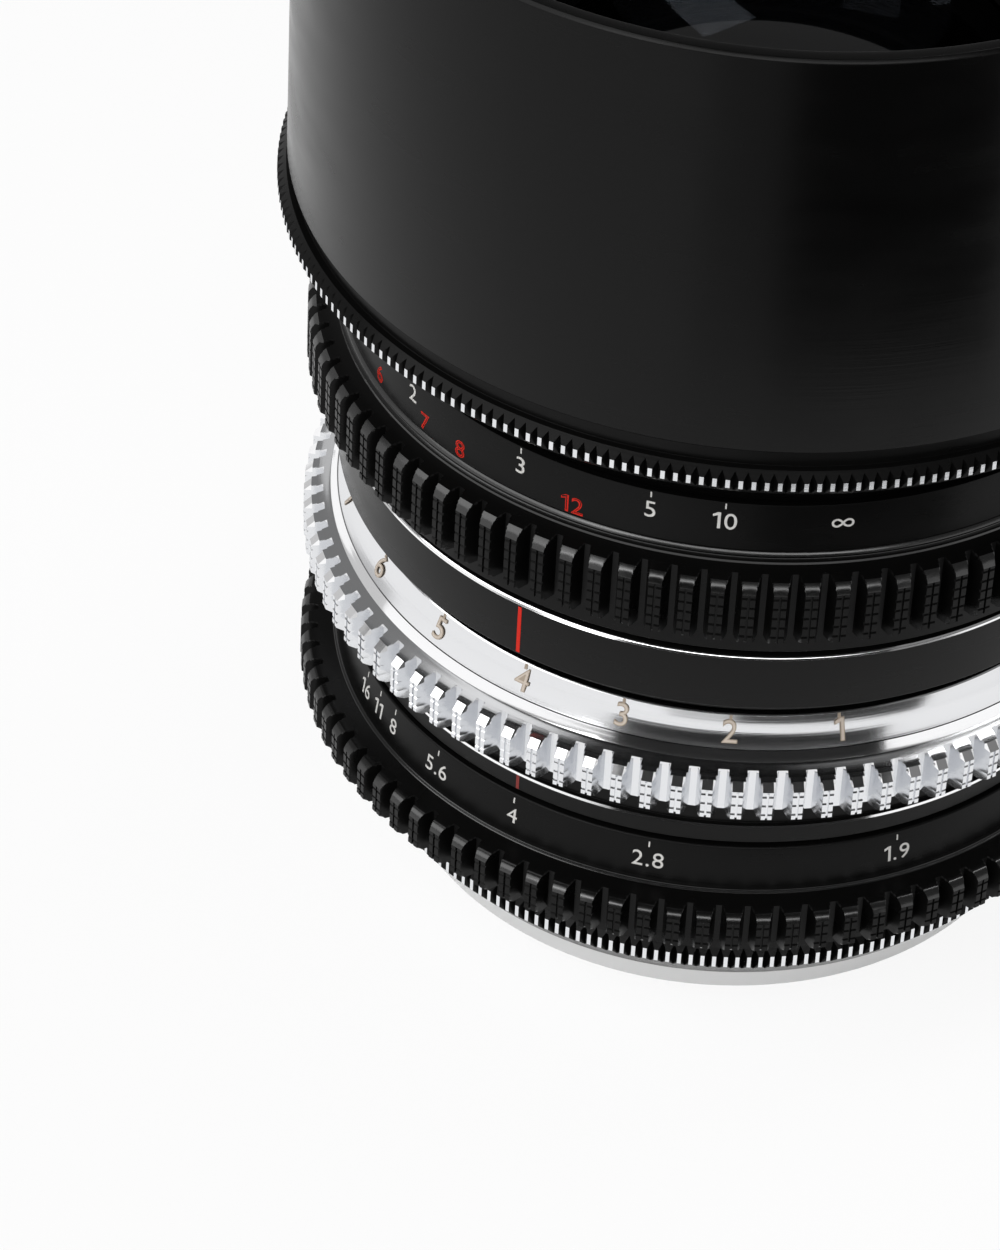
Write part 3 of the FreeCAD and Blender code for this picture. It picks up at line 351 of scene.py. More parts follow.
def tooth_columns(land, floor, root, cap):
    """One pitch from groove middle to groove middle: angle, radius limit, land and slot, per column.

    From the tooth's middle outwards: a narrow slot along the middle, half the land, and the
    flank, a straight side: its angle grows by (TIP - r) / (TIP - root) of the way to the floor.
    It has a column at each radius of the cap above the teeth, so the cap's edge is a clean line.
    """
    land, floor, half = land / 2 / TIP, floor / 2 / root, math.pi / TOOTH_COUNT
    radii = np.concatenate([[TIP], cap, [root]])
    flank = land + (half - floor - land) * (TIP - radii) / (TIP - root)
    angle = np.concatenate([[SLOT_FLOOR / TIP, SLOT_MOUTH / TIP], flank])
    limit = np.concatenate([[TIP, TIP], radii])
    k = np.arange(len(limit))
    on_land, in_slot = ((k == 1) | (k == 2)) * 1.0, (k == 0) * 1.0
    columns = [np.concatenate([[-half], -angle[::-1], angle])]
    for groove_value, side in ((root, limit), (0, on_land), (0, in_slot)):
        columns.append(np.concatenate([[groove_value], side[::-1], side]))
    return columns


def around_axis(name, r, z, turns, materials, body, node, sharp, part_of=None):
    """A closed piece from sections (columns, points) of radius and height at the given turns.

    part_of holds the number of each face's material.
    """
    grid = np.stack([r * np.sin(turns)[:, None], -r * np.cos(turns)[:, None], z], -1)
    points, quads, volume = closed_grid(grid)
    piece = mesh_from(name, points, quads, materials, body, node, sharp)
    if part_of is not None:
        piece.data.polygons.foreach_set("material_index", part_of.reshape(-1).astype(np.int32))
    print("%-20s %6d quads %8.0f mm3" % (name, len(quads), volume))
    return piece


def geared_ring(name, body, foot, cap, hollow, upper, first, rows, first_row, tooth, materials):
    """One closed grid of a geared ring: foot, teeth, shoulder with its hollow, and the part above.

    A column goes up its groove's wall to the height where the shoulder has the groove's radius,
    and from there along the shoulder's own points, so the shoulder's edges stay crisp. The cuts
    across a land lie 1 mm apart, the top one first_row below the land's top, and tooth is the
    land's width, the groove floor's width and the root's radius.
    """
    shoulder = np.vstack([cap, hollow])
    angle, limit, on_land, in_slot = tooth_columns(*tooth, shoulder[1:len(cap) + 1, 0])
    low, land_low, land_top = foot[-1][1], foot[-1][1] + LAND_CHAMFER, shoulder[0][1]
    middles = land_top - first_row - np.arange(rows)[::-1, None]
    cuts = (middles + np.array([-CUT_REACH, 0, CUT_REACH])).reshape(-1)
    heights = np.concatenate([[low, land_low], cuts])
    depth = np.concatenate([[0, 0], np.tile([0, CUT_DEPTH, 0], rows)])
    wall = np.interp(heights, [low, land_low], [TIP - CHAMFER_IN, TIP])
    slot = SLOT_DEPTH * (heights > low) * in_slot[:, None]
    column_r = np.minimum(wall, limit[:, None]) - depth * on_land[:, None] - slot
    column_z = np.broadcast_to(heights, column_r.shape)
    leave = np.interp(-limit, -shoulder[:, 0], shoulder[:, 1])[:, None]
    passed = np.floor(np.interp(-limit, -shoulder[:, 0], np.arange(len(shoulder))) + 1e-6)[:, None] + 1
    k = np.arange(len(shoulder))
    shoulder_r = np.where(k < passed, limit[:, None], shoulder[:, 0])
    shoulder_z = np.where(k < passed, heights[-1] + (leave - heights[-1]) * (k + 1) / passed, shoulder[:, 1])
    below, above, columns = np.array(foot[:-1], float), rounded(upper, 3), len(angle)
    r = np.hstack([repeated(below[:, 0], columns), column_r, shoulder_r, repeated(above[:, 0], columns)])
    z = np.hstack([repeated(below[:, 1], columns), column_z, shoulder_z, repeated(above[:, 1], columns)])
    tooth_turns = np.arange(TOOTH_COUNT)[:, None] * 2 * math.pi / TOOTH_COUNT
    turns = (math.radians(first) + tooth_turns + angle).reshape(-1)
    along = np.arange(r.shape[1]) - len(below)
    toothed = (along >= 0) & (along < len(heights) + len(cap)) & (len(materials) > 1)
    toothed = np.broadcast_to(toothed, (len(turns), len(toothed)))
    return around_axis(name + "_dressed", np.tile(r, (TOOTH_COUNT, 1)), np.tile(z, (TOOTH_COUNT, 1)),
                       turns, materials, body, name, 22, toothed)


def polished(piece, material, radii, heights, upward=-1.0):
    """Gives a further material to the faces whose middle lies between two radii and two heights.

    The upward share is the least z part that a face's normal may have.
    """
    mesh = piece.data
    mesh.materials.append(material)
    middle = np.empty(len(mesh.polygons) * 3)
    mesh.polygons.foreach_get("center", middle)
    x, y, z = middle.reshape(-1, 3).T / MM
    index = np.empty(len(mesh.polygons), np.int32)
    mesh.polygons.foreach_get("material_index", index)
    r = np.hypot(x, y)
    normal = np.empty(len(mesh.polygons) * 3)
    mesh.polygons.foreach_get("normal", normal)
    in_band = (r > radii[0]) & (r < radii[1]) & (z > heights[0]) & (z < heights[1])
    inside = in_band & (normal[2::3] > upward)
    index[inside] = len(mesh.materials) - 1
    mesh.polygons.foreach_set("material_index", index)
    print(piece.name, "polished faces", int(inside.sum()))


# %% [markdown]
# The focus ring's band is a cylinder with a bead under it, the softness ring's band is a cone
# that swells a little and the aperture ring's band leans. Each ring is given by four lines: the
# foot from the bore out to the teeth, the cap, the hollow curve, and the band, from there down
# to the bore again as (radius, height, fillet). Caps and beads have a shinier finish than the
# rest, because their edges are turned once more after milling, and they catch the lamps.

# %% The focus ring
low, top = levels("focus_ring")
teeth = top - 12.6
focus_cap = curved((TIP, teeth + 5.4), (37.72, teeth + 6.3), -0.09, 4)
focus_hollow = curved((37.3, teeth + 6.4), (36.1, teeth + 6.88), 0.05, 5)
focus_foot = [(34.8, teeth - 0.35), (BORE, teeth - 0.35), (BORE, low), (34.5, low), (34.5, low + 0.7),
              (35.85, low + 0.7), (36.0, low + 0.85), (36.0, teeth), (TIP - CHAMFER_IN, teeth)]
focus_upper = [(36.05, teeth + 7.0, 0.05), (35.74, teeth + 7.2, 0.05), (35.72, teeth + 7.3, 0.04),
               (35.86, teeth + 7.5, 0.08), (35.6, teeth + 7.8, 0.05), (35.5, teeth + 7.84, 0.02),
               (35.5, top, 0.16), (34.8, top, 0.1)]
black_tooth, silver_tooth = (1.1, 0.5, 36.9), (0.92, 0.58, 36.7)
ring = geared_ring("focus_ring", "focus", focus_foot, focus_cap, focus_hollow, focus_upper,
                   0.69, 5, 0.38, black_tooth, [ring_black])
polished(ring, turned_black, (37.7, 38.4), (teeth + 5.4, teeth + 6.31), 0.2)
polished(ring, turned_black, (35.45, 36.12), (teeth + 6.85, teeth + 7.9), 0.3)

# %% The silver softness ring
low, top = levels("bokeh_ring")
land_top = low + LAND_CHAMFER + 3.05
soft_cap = np.array([(TIP, land_top), (37.75, land_top + 0.62)])
soft_hollow = curved((37.3, land_top + 0.72), (36.14, land_top + 1.26), 0.02, 7)
soft_foot = [(BORE, low), (35.5, low), (TIP - CHAMFER_IN, low)]
soft_band = curved((35.4, land_top + 2.13), (34.16, top - 0.12), 0.15, 12)
soft_upper = [(36.06, land_top + 1.29, 0), (35.91, land_top + 1.49, 0), (35.78, land_top + 1.7, 0),
              (35.64, land_top + 1.9, 0), (35.51, land_top + 2.1, 0)]
soft_upper += [(r, z, 0) for r, z in soft_band] + [(34.04, top, 0.04), (BORE, top, 0)]
ring = geared_ring("bokeh_ring", "bokeh", soft_foot, soft_cap, soft_hollow, soft_upper,
                   1.53, 3, 0.5, silver_tooth, [silver, cut_metal])
polished(ring, bare_edge, (37.75, 38.39), (land_top + 0.01, land_top + 0.62), 0.3)
polished(ring, bare_edge, (35.5, 36.07), (land_top + 1.28, land_top + 2.12))

# %% The aperture ring
low, top = levels("aperture_ring")
land_top = low + LAND_CHAMFER + 3.1
stop_cap = curved((TIP, land_top), (37.7, land_top + 0.7), -0.08, 6)
stop_hollow = curved((37.3, land_top + 0.76), (35.55, land_top + 0.95), 0.03, 6)
stop_foot = [(BORE, low), (35.5, low), (TIP - CHAMFER_IN, low)]
stop_upper = [(35.5, land_top + 0.98, 0.03), (35.28, land_top + 1.1, 0.05), (35.24, land_top + 1.28, 0.04),
              (35.2, land_top + 1.45, 0.05), (34.65, top - 0.12, 0.04), (34.52, top, 0.04), (BORE, top, 0)]
ring = geared_ring("aperture_ring", "aperture", stop_foot, stop_cap, stop_hollow, stop_upper,
                   2.53, 3, 0.5, black_tooth, [ring_black])
polished(ring, turned_black, (37.7, 38.4), (land_top, land_top + 0.71), 0.2)
polished(ring, turned_black, (35.15, 35.6), (land_top + 0.9, land_top + 1.5), 0.3)

# %% [markdown]
# ## Fine grips
# The clamp ring under the hood has 249 lengthwise V grooves and the ring above the flange has
# 205. The ring was anodised first and the lands were then turned bare, so each land is a small
# bright rectangle. A groove runs out on the cone above and below the land as a point. Three
# columns a groove are enough: the land's two edges and the groove's bottom, each placed where
# its own radius meets the two cones.


# %% The two rings with a fine grip
HALF_LAND, GRIP_DEPTH = 0.17, 0.55


def gripped_ring(name, body, foot, cones, upper, count, first):
    """A ring with count grooves, the first land turned by first radians.

    cones is the line (r, z) from the lower cone's foot over the land to the upper cone's end.
    A land reaches HALF_LAND of a pitch to each side, and a groove's bottom lies half a pitch on.
    """
    pitch = 2 * math.pi / count
    angle = np.array([-HALF_LAND, HALF_LAND, 0.5]) * pitch
    (r0, z0), (tip, z1), (_, z2), (r3, z3) = cones
    limit = np.array([tip, tip, tip - GRIP_DEPTH])
    meet_low = np.interp(limit, [r0, tip], [z0, z1])
    meet_high = np.interp(-limit, [-tip, -r3], [z2, z3])
    below, above = np.array(foot + [(r0, z0)], float), rounded([(r3, z3, 0)] + upper)
    r = np.hstack([repeated(below[:, 0], 3), limit[:, None], limit[:, None], repeated(above[:, 0], 3)])
    z = np.hstack([repeated(below[:, 1], 3), meet_low[:, None], meet_high[:, None], repeated(above[:, 1], 3)])
    turns = (first + np.arange(count)[:, None] * pitch + angle).reshape(-1)
    bare = np.zeros((len(turns), r.shape[1]), bool)
    bare[::3, len(below)] = True
    return around_axis(name + "_dressed", np.tile(r, (count, 1)), np.tile(z, (count, 1)), turns,
                       [ring_black, cut_metal], body, name, 25, bare)


low, top = levels("hood_clamp_ring")
gripped_ring("hood_clamp_ring", "block", [(34.5, low)],
             [(40.29, low), (41.24, low + 1.0), (41.24, low + 1.8), (40.5, low + 2.54)],
             [(39.9, low + 2.54, 0.05), (39.9, top, 0), (34.5, top, 0)], 249, -0.5774)
low, top = levels("rear_knurl_ring")
gripped_ring("rear_knurl_ring", "base", [(31.0, top), (31.0, low + 2.33), (22.0, low + 2.33), (22.0, low)],
             [(30.75, low), (33.2, low + 3.0), (33.2, low + 4.2), (32.5, low + 5.0)], [], 205, 0.1213)

# %% [markdown]
# ## Barrels, sleeves and hood
# These are plain turned pieces, so each is a section line turned once round. What makes them
# look machined is in the section: every edge is broken by a small chamfer or fillet, and those
# narrow bands catch the lamp as thin bright lines. The hood's bore is cut with fine rings from
# the floor to the thread, because a smooth black bore would still mirror light into the lens.

# %% Index sleeves and the keeper under the aperture ring
low, top = levels("index_sleeve_front")
sleeve = turned("front_sleeve", [
    (BORE, low, 0), (33.84, low, 0.05), (33.84, low + 1.65, 0.05), (35.5, low + 1.65, 0.04),
    (35.55, low + 1.72, 0.04), (35.55, top - 0.27, 0), (35.456, top - 0.141, 0), (35.42, top - 0.141, 0),
    (35.315, top - 0.02, 0), (35.28, top, 0), (34.6, top, 0.03), (34.55, top - 0.06, 0.03),
    (BORE, top - 0.06, 0)], sleeve_black, "base", "index_sleeve_front")
polished(sleeve, bare_edge, (35.3, 35.56), (top - 0.28, top - 0.015))
low, top = levels("index_sleeve_rear")
sleeve = turned("rear_sleeve", [
    (BORE, low, 0), (34.3, low, 0.04), (34.35, low + 0.06, 0.04), (34.35, low + 1.67, 0),
    (34.238, low + 1.836, 0), (33.84, low + 1.88, 0.03), (33.84, top, 0.05),
    (BORE, top, 0)], sleeve_black, "base", "index_sleeve_rear")
polished(sleeve, bare_edge, (34.2, 34.36), (low + 1.67, low + 1.845))
low, top = levels("aperture_keeper")
turned("stop_keeper", [(BORE, low, 0), (34.5, low, 0.1), (34.6, top, 0.15), (BORE, top, 0)],
       sleeve_black, "base", "aperture_keeper")

# %% Skirt of the sliding barrel
skirt_low, top = 53.6, levels("hood_clamp_ring")[0]
turned("barrel_skirt", [(34.40, skirt_low, 0), (34.48, skirt_low, 0.02), (34.48, top, 0), (34.40, top, 0)],
       sleeve_black, "block")

# %% Hood
low, top = levels("hood_barrel")
thread = [(38.12 + 0.33 * (k % 2), top - 1.3 - 0.375 * k, 0) for k in range(9)]
traps = [(37.62 + 0.22 * (k % 2), top - 6.2 - 0.35 * k, 0) for k in range(80)]
outside = [(34.5, low, 0), (40.2, low, 0.05), (40.45, low + 0.25, 0.06), (40.45, top - 0.32, 0.05)]
mouth = [(40.2, top, 0.04), (39.2, top, 0.04), (38.45, top - 0.75, 0.04), (38.12, top - 1.05, 0.03)]
below_thread = [(38.12, top - 4.85, 0.03), (37.62, top - 5.4, 0.03)]
floor = [(37.6, low + 2.5, 0), (34.5, low + 2.5, 0)]
hood = turned("hood", outside + mouth + thread + below_thread + traps + floor,
              hood_black, "block", "hood_barrel", 360, 40)
polished(hood, deep_black, (34.4, 39.2), (low + 0.1, top - 0.01))

# %% [markdown]
# ## Front glass and its rings
# Deep in the hood sits the front cell. Its face is covered by a bare black trim ring with fine
# rings turned in it. The front lens is a cemented pair, so only its front surface shows. It is
# made as a cap: radius by angle, height from the ball's formula, and one point at each pole.

# %% Trim ring and retainer
low, top = levels("front_trim_ring")
rings = [(r, top - 0.12 * (k % 2), 0) for k, r in enumerate(np.arange(36.6, 26.4, -0.4))]
turned("front_trim", [(24.0, low, 0), (37.55, low, 0), (37.55, top, 0.1)] + rings
       + [(25.6, top, 0.1), (23.7, low + 0.4, 0.05)], deep_black, "block", "front_trim_ring", 240, 40)
low, top = levels("front_lens_retainer")
turned("front_retainer", [(22.45, low, 0), (22.45, top, 0.05), (21.8, top, 0.1), (21.0, low, 0)],
       deep_black, "block", "front_lens_retainer", 240, 40)


# %% Lenses
def fall(r, bend):
    """How far a ball's face has dropped at radius r: r^2 / (b + sqrt(b^2 - r^2)) for a ball radius b.

    The bend is that radius, positive where the face bulges upwards and negative where downwards.
    """
    return r / np.abs(bend) * r / (1 + np.sqrt(1 - (r / bend) ** 2)) * np.sign(bend)


def lens(name, radius, rear_z, rear_bend, front_z, front_bend, body, node, turns=160, steps=24):
    """A lens with two round faces, given by the heights of their middles and their bends."""
    r = np.linspace(0, 1, steps)[1:, None] * radius
    rear_line = np.hstack([r, rear_z - fall(r, rear_bend)])
    front_line = np.hstack([r, front_z - fall(r, front_bend)])
    line = np.vstack([rear_line, front_line[::-1]])
    count = len(line)
    a = np.linspace(0, 2 * math.pi, turns, endpoint=False)[:, None]
    grid = np.stack([line[:, 0] * np.sin(a), -line[:, 0] * np.cos(a), repeated(line[:, 1], turns)], -1)
    u, v = np.meshgrid(np.arange(turns), np.arange(count - 1), indexing="ij")
    near, far = u * count + v, (u + 1) % turns * count + v
    quads = np.stack([near, far, far + 1, near + 1], -1).reshape(-1, 4)
    poles = turns * count
    k = np.arange(turns)
    rear = np.stack([np.full(turns, poles), (k + 1) % turns * count, k * count], -1)
    last = count - 1
    front = np.stack([np.full(turns, poles + 1), k * count + last, (k + 1) % turns * count + last], -1)
    points = np.vstack([grid.reshape(-1, 3), [[0, 0, rear_z], [0, 0, front_z]]])
    faces = quads.tolist() + rear.tolist() + front.tolist()
    piece = mesh_from(name, points, faces, glass, body, node, 30)
    print("%-20s %6d faces" % (name, len(faces)))
    return piece


low, top = levels("front_crown_lens")
GLASS_RADIUS, REAR_BEND, FRONT_BEND = 22.5, -60.0, 70.0
lens("front_glass", GLASS_RADIUS, low, REAR_BEND, top, FRONT_BEND, "block", "front_crown_lens")

# %% [markdown]
# ## Scales
# Plain numbers and short ticks are drawn with Blender's own font. A text object is turned into
# a mesh while it lies flat, and its points are then laid on the ring: the way across becomes a
# turn around the axis, the way up climbs along the band's section, and the thickness stands
# out square to it. That keeps every glyph true to the surface without a shrinkwrap. The font's
# one is a bare stem, while the dials' has a slanting flag, so that character is its own outline.


# %% Flat numbers and ticks, laid on a band
def typed(text, size, thickness, weight):
    """The points and faces of one character in Blender's font, its left edge at zero."""
    curve = bpy.data.curves.new("flat", "FONT")
    curve.body, curve.size, curve.offset, curve.extrude = text, size, weight, thickness / 2
    curve.resolution_u = 6
    flat = bpy.data.objects.new("flat", curve)
    bpy.context.scene.collection.objects.link(flat)
    bpy.context.view_layer.update()
    mesh = bpy.data.meshes.new_from_object(flat.evaluated_get(bpy.context.evaluated_depsgraph_get()))
    points = np.empty(len(mesh.vertices) * 3)
    mesh.vertices.foreach_get("co", points)
    faces = [list(face.vertices) for face in mesh.polygons]
    bpy.data.objects.remove(flat)
    bpy.data.curves.remove(curve)
    bpy.data.meshes.remove(mesh)
    return points.reshape(-1, 3), faces


def flagged_one(size, thickness, weight):
    """A stem with a slanting flag at its top, as wide as the font's own strokes plus the weight."""
    stroke, height, flag = 0.105 * size, 0.71 * size, 0.17 * size
    outline = np.array([
        (stroke + weight, -weight), (stroke + weight, height + weight), (-weight, height + weight),
        (-flag - weight, height - 0.1 * size), (-flag - weight, height - 0.2 * size - weight),
        (-weight, height - 0.13 * size - weight), (-weight, -weight)])
    count = len(outline)
    flat = [np.column_stack([outline, np.full(count, side * thickness / 2)]) for side in (-1, 1)]
    k = np.arange(count)
    sides = np.column_stack([k, (k + 1) % count, (k + 1) % count + count, k + count]).tolist()
    lower = [[6, 0, 1], [6, 1, 5], [5, 1, 2], [5, 2, 3], [5, 3, 4]]
    upper = [[corner + count for corner in face] for face in lower]
    return np.vstack(flat), sides + [face[::-1] for face in lower] + upper


def glyphs(text, size, thickness=0.05, weight=0.0):
    """The points and faces of a number about its middle, flat, in millimetres."""
    points, faces, start, pen = [], [], 0, 0.0
    for letter in text:
        if letter == "1":
            shape, shape_faces = flagged_one(size, thickness, weight)
        else:
            shape, shape_faces = typed(letter, size, thickness, weight)
        shape = shape + (pen - shape[:, 0].min() - weight, 0, 0)
        pen = shape[:, 0].max() - weight + 0.13 * size
        points.append(shape)
        faces += [[corner + start for corner in face] for face in shape_faces]
        start += len(shape)
    points = np.vstack(points)
    middle = (points.min(0) + points.max(0)) / 2
    return points - (middle[0], middle[1], 0), faces


def bar(width, height, thickness=0.05):
    """A flat bar about its middle."""
    corner = np.array([(x, y) for y in (-0.5, 0.5) for x in (-0.5, 0.5)]) * (width, height)
    points = np.vstack([np.column_stack([corner, np.full(4, side * thickness / 2)]) for side in (-1, 1)])
    return points, [[0, 2, 3, 1], [4, 5, 7, 6], [0, 1, 5, 4], [1, 3, 7, 5], [3, 2, 6, 7], [2, 0, 4, 6]]


def row(texts, size, height, weight=0.0):
    """Marks for numbers at one height, from (text, azimuth) pairs."""
    return [(glyphs(text, size, weight=weight), azimuth, height) for text, azimuth in texts]


def ticks(texts, width, length, height):
    """Marks for one tick over each number of a row."""
    return [(bar(width, length), azimuth, height) for text, azimuth in texts]


def laid(name, marks, band, material, body, proud=0.0):
    """One piece from marks (shape, azimuth in degrees, height) on a band from (r, z) to (r, z).

    A point (across, up, out) goes to the band's point at that height, moved up along the band,
    out square to it, and turned by across divided by the radius.
    """
    (r0, z0), (r1, z1) = band
    climb = np.array([r1 - r0, z1 - z0]) / math.hypot(r1 - r0, z1 - z0)
    square = np.array([climb[1], -climb[0]])
    points, faces, start = [], [], 0
    for (flat, flat_faces), azimuth, height in marks:
        r = r0 + (r1 - r0) * (height - z0) / (z1 - z0)
        line = np.array([r, height]) + flat[:, 1:2] * climb + (flat[:, 2:3] + proud) * square
        turn = math.radians(azimuth) + flat[:, 0] / r
        points.append(np.column_stack([line[:, 0] * np.sin(turn), -line[:, 0] * np.cos(turn), line[:, 1]]))
        faces += [[corner + start for corner in face] for face in flat_faces]
        start += len(flat)
    piece = mesh_from(name, np.vstack(points), faces, material, body)
    print("%-20s %6d faces" % (name, len(faces)))
    return piece


# %% Distances on the focus ring
low, top = levels("focus_ring")
band = ((35.5, top - 4.5), (35.5, top))
FOCUS_NUMBER, FAR_SIGN, METRES_DOWN, FEET_DOWN = 2.35, 2.25, 1.95, 3.8
metres = [("2", -21.7), ("3", -1.25), ("5", 17.6), ("10", 27.5)]
marks = row(metres, FOCUS_NUMBER, top - METRES_DOWN) + ticks(metres, 0.13, 0.55, top - 0.42)
laid("metres", marks + row([("∞", 43.0)], FAR_SIGN, top - METRES_DOWN), band, white_paint, "focus")
feet = [("6", -30.6), ("7", -18.8), ("8", -11.6), ("12", 6.8)]
laid("feet", row(feet, FOCUS_NUMBER, top - FEET_DOWN, 0.02), band, red_paint, "focus")
laid("feet_middle", row(feet, FOCUS_NUMBER, top - FEET_DOWN, -0.085), band, ring_black, "focus", 0.012)

# %% Numbers on the softness ring
low, top = levels("bokeh_ring")
band = ((35.4, top - 2.87), (34.14, top - 0.1))
steps = [("7", -46.6), ("6", -30.9), ("5", -15.3), ("4", 0.2), ("3", 15.5), ("2", 30.7), ("1", 46.0)]
STEP_NUMBER, STEP_DOWN = 2.9, 1.42
laid("softness_edges", row(steps, STEP_NUMBER, top - STEP_DOWN, 0.035), band, etched_edge, "bokeh")
laid("softness_numbers", row(steps, STEP_NUMBER, top - STEP_DOWN, -0.045), band, etched, "bokeh", 0.01)
laid("softness_ticks", ticks(steps, 0.26, 0.5, top - 0.33), band, etched_edge, "bokeh")

# %% Aperture numbers
low, top = levels("aperture_ring")
band = ((35.2, top - 4.02), (34.65, top - 0.12))
stops = [("16", -33.96), ("11", -29.43), ("8", -24.9), ("5.6", -14.35), ("4", 0.0), ("2.8", 20.83),
         ("1.9", 56.68)]
STOP_NUMBER, STOP_DOWN = 2.2, 2.2
marks = row(stops, STOP_NUMBER, top - STOP_DOWN) + ticks(stops, 0.13, 0.55, top - 0.66)
laid("stops", marks, band, white_paint, "aperture")

# %% Index lines
low, top = levels("index_sleeve_front")
laid("front_index", [(bar(0.36, 4.95), 0, (low + top) / 2 + 0.71)], ((35.55, low + 1.7), (35.55, top)),
     red_paint, "base")
low, top = levels("index_sleeve_rear")
# The rear index line is red paint with painted shade, for the recess under the softness ring.
laid("rear_index", [(bar(0.3, 1.55), 0, low + 0.88)], ((34.35, low), (34.35, low + 1.6)),
     red_with_painted_shade, "base")

# %% [markdown]
# ## Finishes of the remaining CAD pieces
# What stays as it came from CAD is hidden or plain: the barrel under the rings, the mount, the
# cells, the iris. Each gets its own finish through the material slots of its object.

# %% Materials by node
CAD_FINISH = {
    "mount_flange": flange_grey, "mount_screws": steel, "rear_light_baffle": deep_black,
    "main_barrel": sleeve_black, "focus_keeper": sleeve_black, "guide_keys": steel,
    "aperture_drive_pin": steel, "bokeh_drive_pin": steel, "focus_nut": brass,
    "lens_barrel": sleeve_black, "front_cell": deep_black, "front_flint_lens": glass,
    "rear_cell": deep_black, "rear_lens": glass, "rear_lens_retainer": deep_black,
    "bokeh_guide_pins": steel, "bokeh_cell": deep_black, "bokeh_lens": glass,
    "bokeh_cell_retainer": deep_black, "bokeh_cam_sleeve": sleeve_black, "cam_keeper": sleeve_black,
    "iris_plate": deep_black, "iris_ring": sleeve_black, "iris_keeper": deep_black}
CAD_FINISH.update({"iris_blade_%02d" % k: blade_black for k in range(1, 13)})
for node, finished in CAD_FINISH.items():
    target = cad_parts[node]
    target.data.materials.clear()
    target.data.materials.append(finished)
print("finished nodes", len(CAD_FINISH))

# %% [markdown]
# ## Studio
# A white floor runs out to a white round wall, and a grey room is above it. To the camera and
# to mirror rays the floor and the wall are mostly their own white, and partly the light that
# falls on them, so the lens keeps a faint shadow. Five soft lamps light the lens: a long low one
# in front draws the thin bright lines on the sleeves' edges, one at the left lights the caps of
# the teeth, two small ones stand further round, and a wide one fills in without showing in the
# metal. Cards that only mirror rays see are set as a photographer sets them: black ones in front
# and above make the silver hollow read as a dark band, and the hood dark at the right, and a
# glowing one at the left and one on the floor, painted reflections that glow though they are no
# lamps, soften the change from white to black.

# %% Floor and wall
def own_white(name, share):
    """White that glows by itself for camera, mirror and glass rays, and is a plain white otherwise."""
    material = bpy.data.materials.new(name)
    material.use_nodes = True
    nodes, links = material.node_tree.nodes, material.node_tree.links
    nodes.clear()
    output = nodes.new("ShaderNodeOutputMaterial")
    diffuse = nodes.new("ShaderNodeBsdfDiffuse")
    diffuse.inputs["Color"].default_value = (0.85, 0.85, 0.85, 1)
    glow = nodes.new("ShaderNodeEmission")
    path = nodes.new("ShaderNodeLightPath")
    either, any_of, seen = (nodes.new("ShaderNodeMath") for k in range(3))
    either.operation = any_of.operation = "MAXIMUM"
    seen.operation = "MULTIPLY"
    seen.inputs[1].default_value = share
    mix = nodes.new("ShaderNodeMixShader")
    links.new(path.outputs["Is Camera Ray"], either.inputs[0])
    links.new(path.outputs["Is Glossy Ray"], either.inputs[1])
    links.new(either.outputs[0], any_of.inputs[0])
    links.new(path.outputs["Is Transmission Ray"], any_of.inputs[1])
    links.new(any_of.outputs[0], seen.inputs[0])
    links.new(seen.outputs[0], mix.inputs[0])
    links.new(diffuse.outputs[0], mix.inputs[1])
    links.new(glow.outputs[0], mix.inputs[2])
    links.new(mix.outputs[0], output.inputs[0])
    return material


def studio_piece(name, points, faces, material):
    """A floor, wall or card, in metres."""
    mesh = bpy.data.meshes.new(name)
    mesh.from_pydata(points, [], faces)
    mesh.materials.append(material)
    piece = bpy.data.objects.new(name, mesh)
    bpy.context.scene.collection.objects.link(piece)
    piece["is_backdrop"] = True
    return piece


SIDES, ROOM_RADIUS, ROOM_HEIGHT, FLOOR_Z, COVERED_SHARE = 128, 3, 1.3, -0.00442, 0.008
around = np.linspace(0, 2 * math.pi, SIDES, endpoint=False)
circle = np.column_stack([ROOM_RADIUS * np.sin(around), -ROOM_RADIUS * np.cos(around)])
k = np.arange(SIDES)
strip = np.column_stack([k, (k + 1) % SIDES, (k + 1) % SIDES + SIDES, k + SIDES]).tolist()
floor_points = np.column_stack([circle, np.full(SIDES, FLOOR_Z)])
floor_ring = np.vstack([floor_points, floor_points * (COVERED_SHARE, COVERED_SHARE, 1)])
studio_piece("floor", floor_ring.tolist(), strip, own_white("floor_white", 0.9))
studio_piece("floor_under_lens", floor_ring[SIDES:].tolist(), [k.tolist()],
             finish("shaded_floor", (0.8, 0.8, 0.8), 0.9)[0])
wall_points = np.vstack([floor_points, np.column_stack([circle, np.full(SIDES, ROOM_HEIGHT)])])
studio_piece("wall", wall_points.tolist(), strip, own_white("wall_white", 1.0))
print("room", ROOM_RADIUS, "m wide to each side")

# %% Room light and lamps
world = bpy.data.worlds.new("room")
bpy.context.scene.world = world
world.use_nodes = True
background = world.node_tree.nodes["Background"]
background.inputs["Color"].default_value = (1, 1, 1, 1)
background.inputs["Strength"].default_value = 0.20
LENS_MIDDLE = 0.04


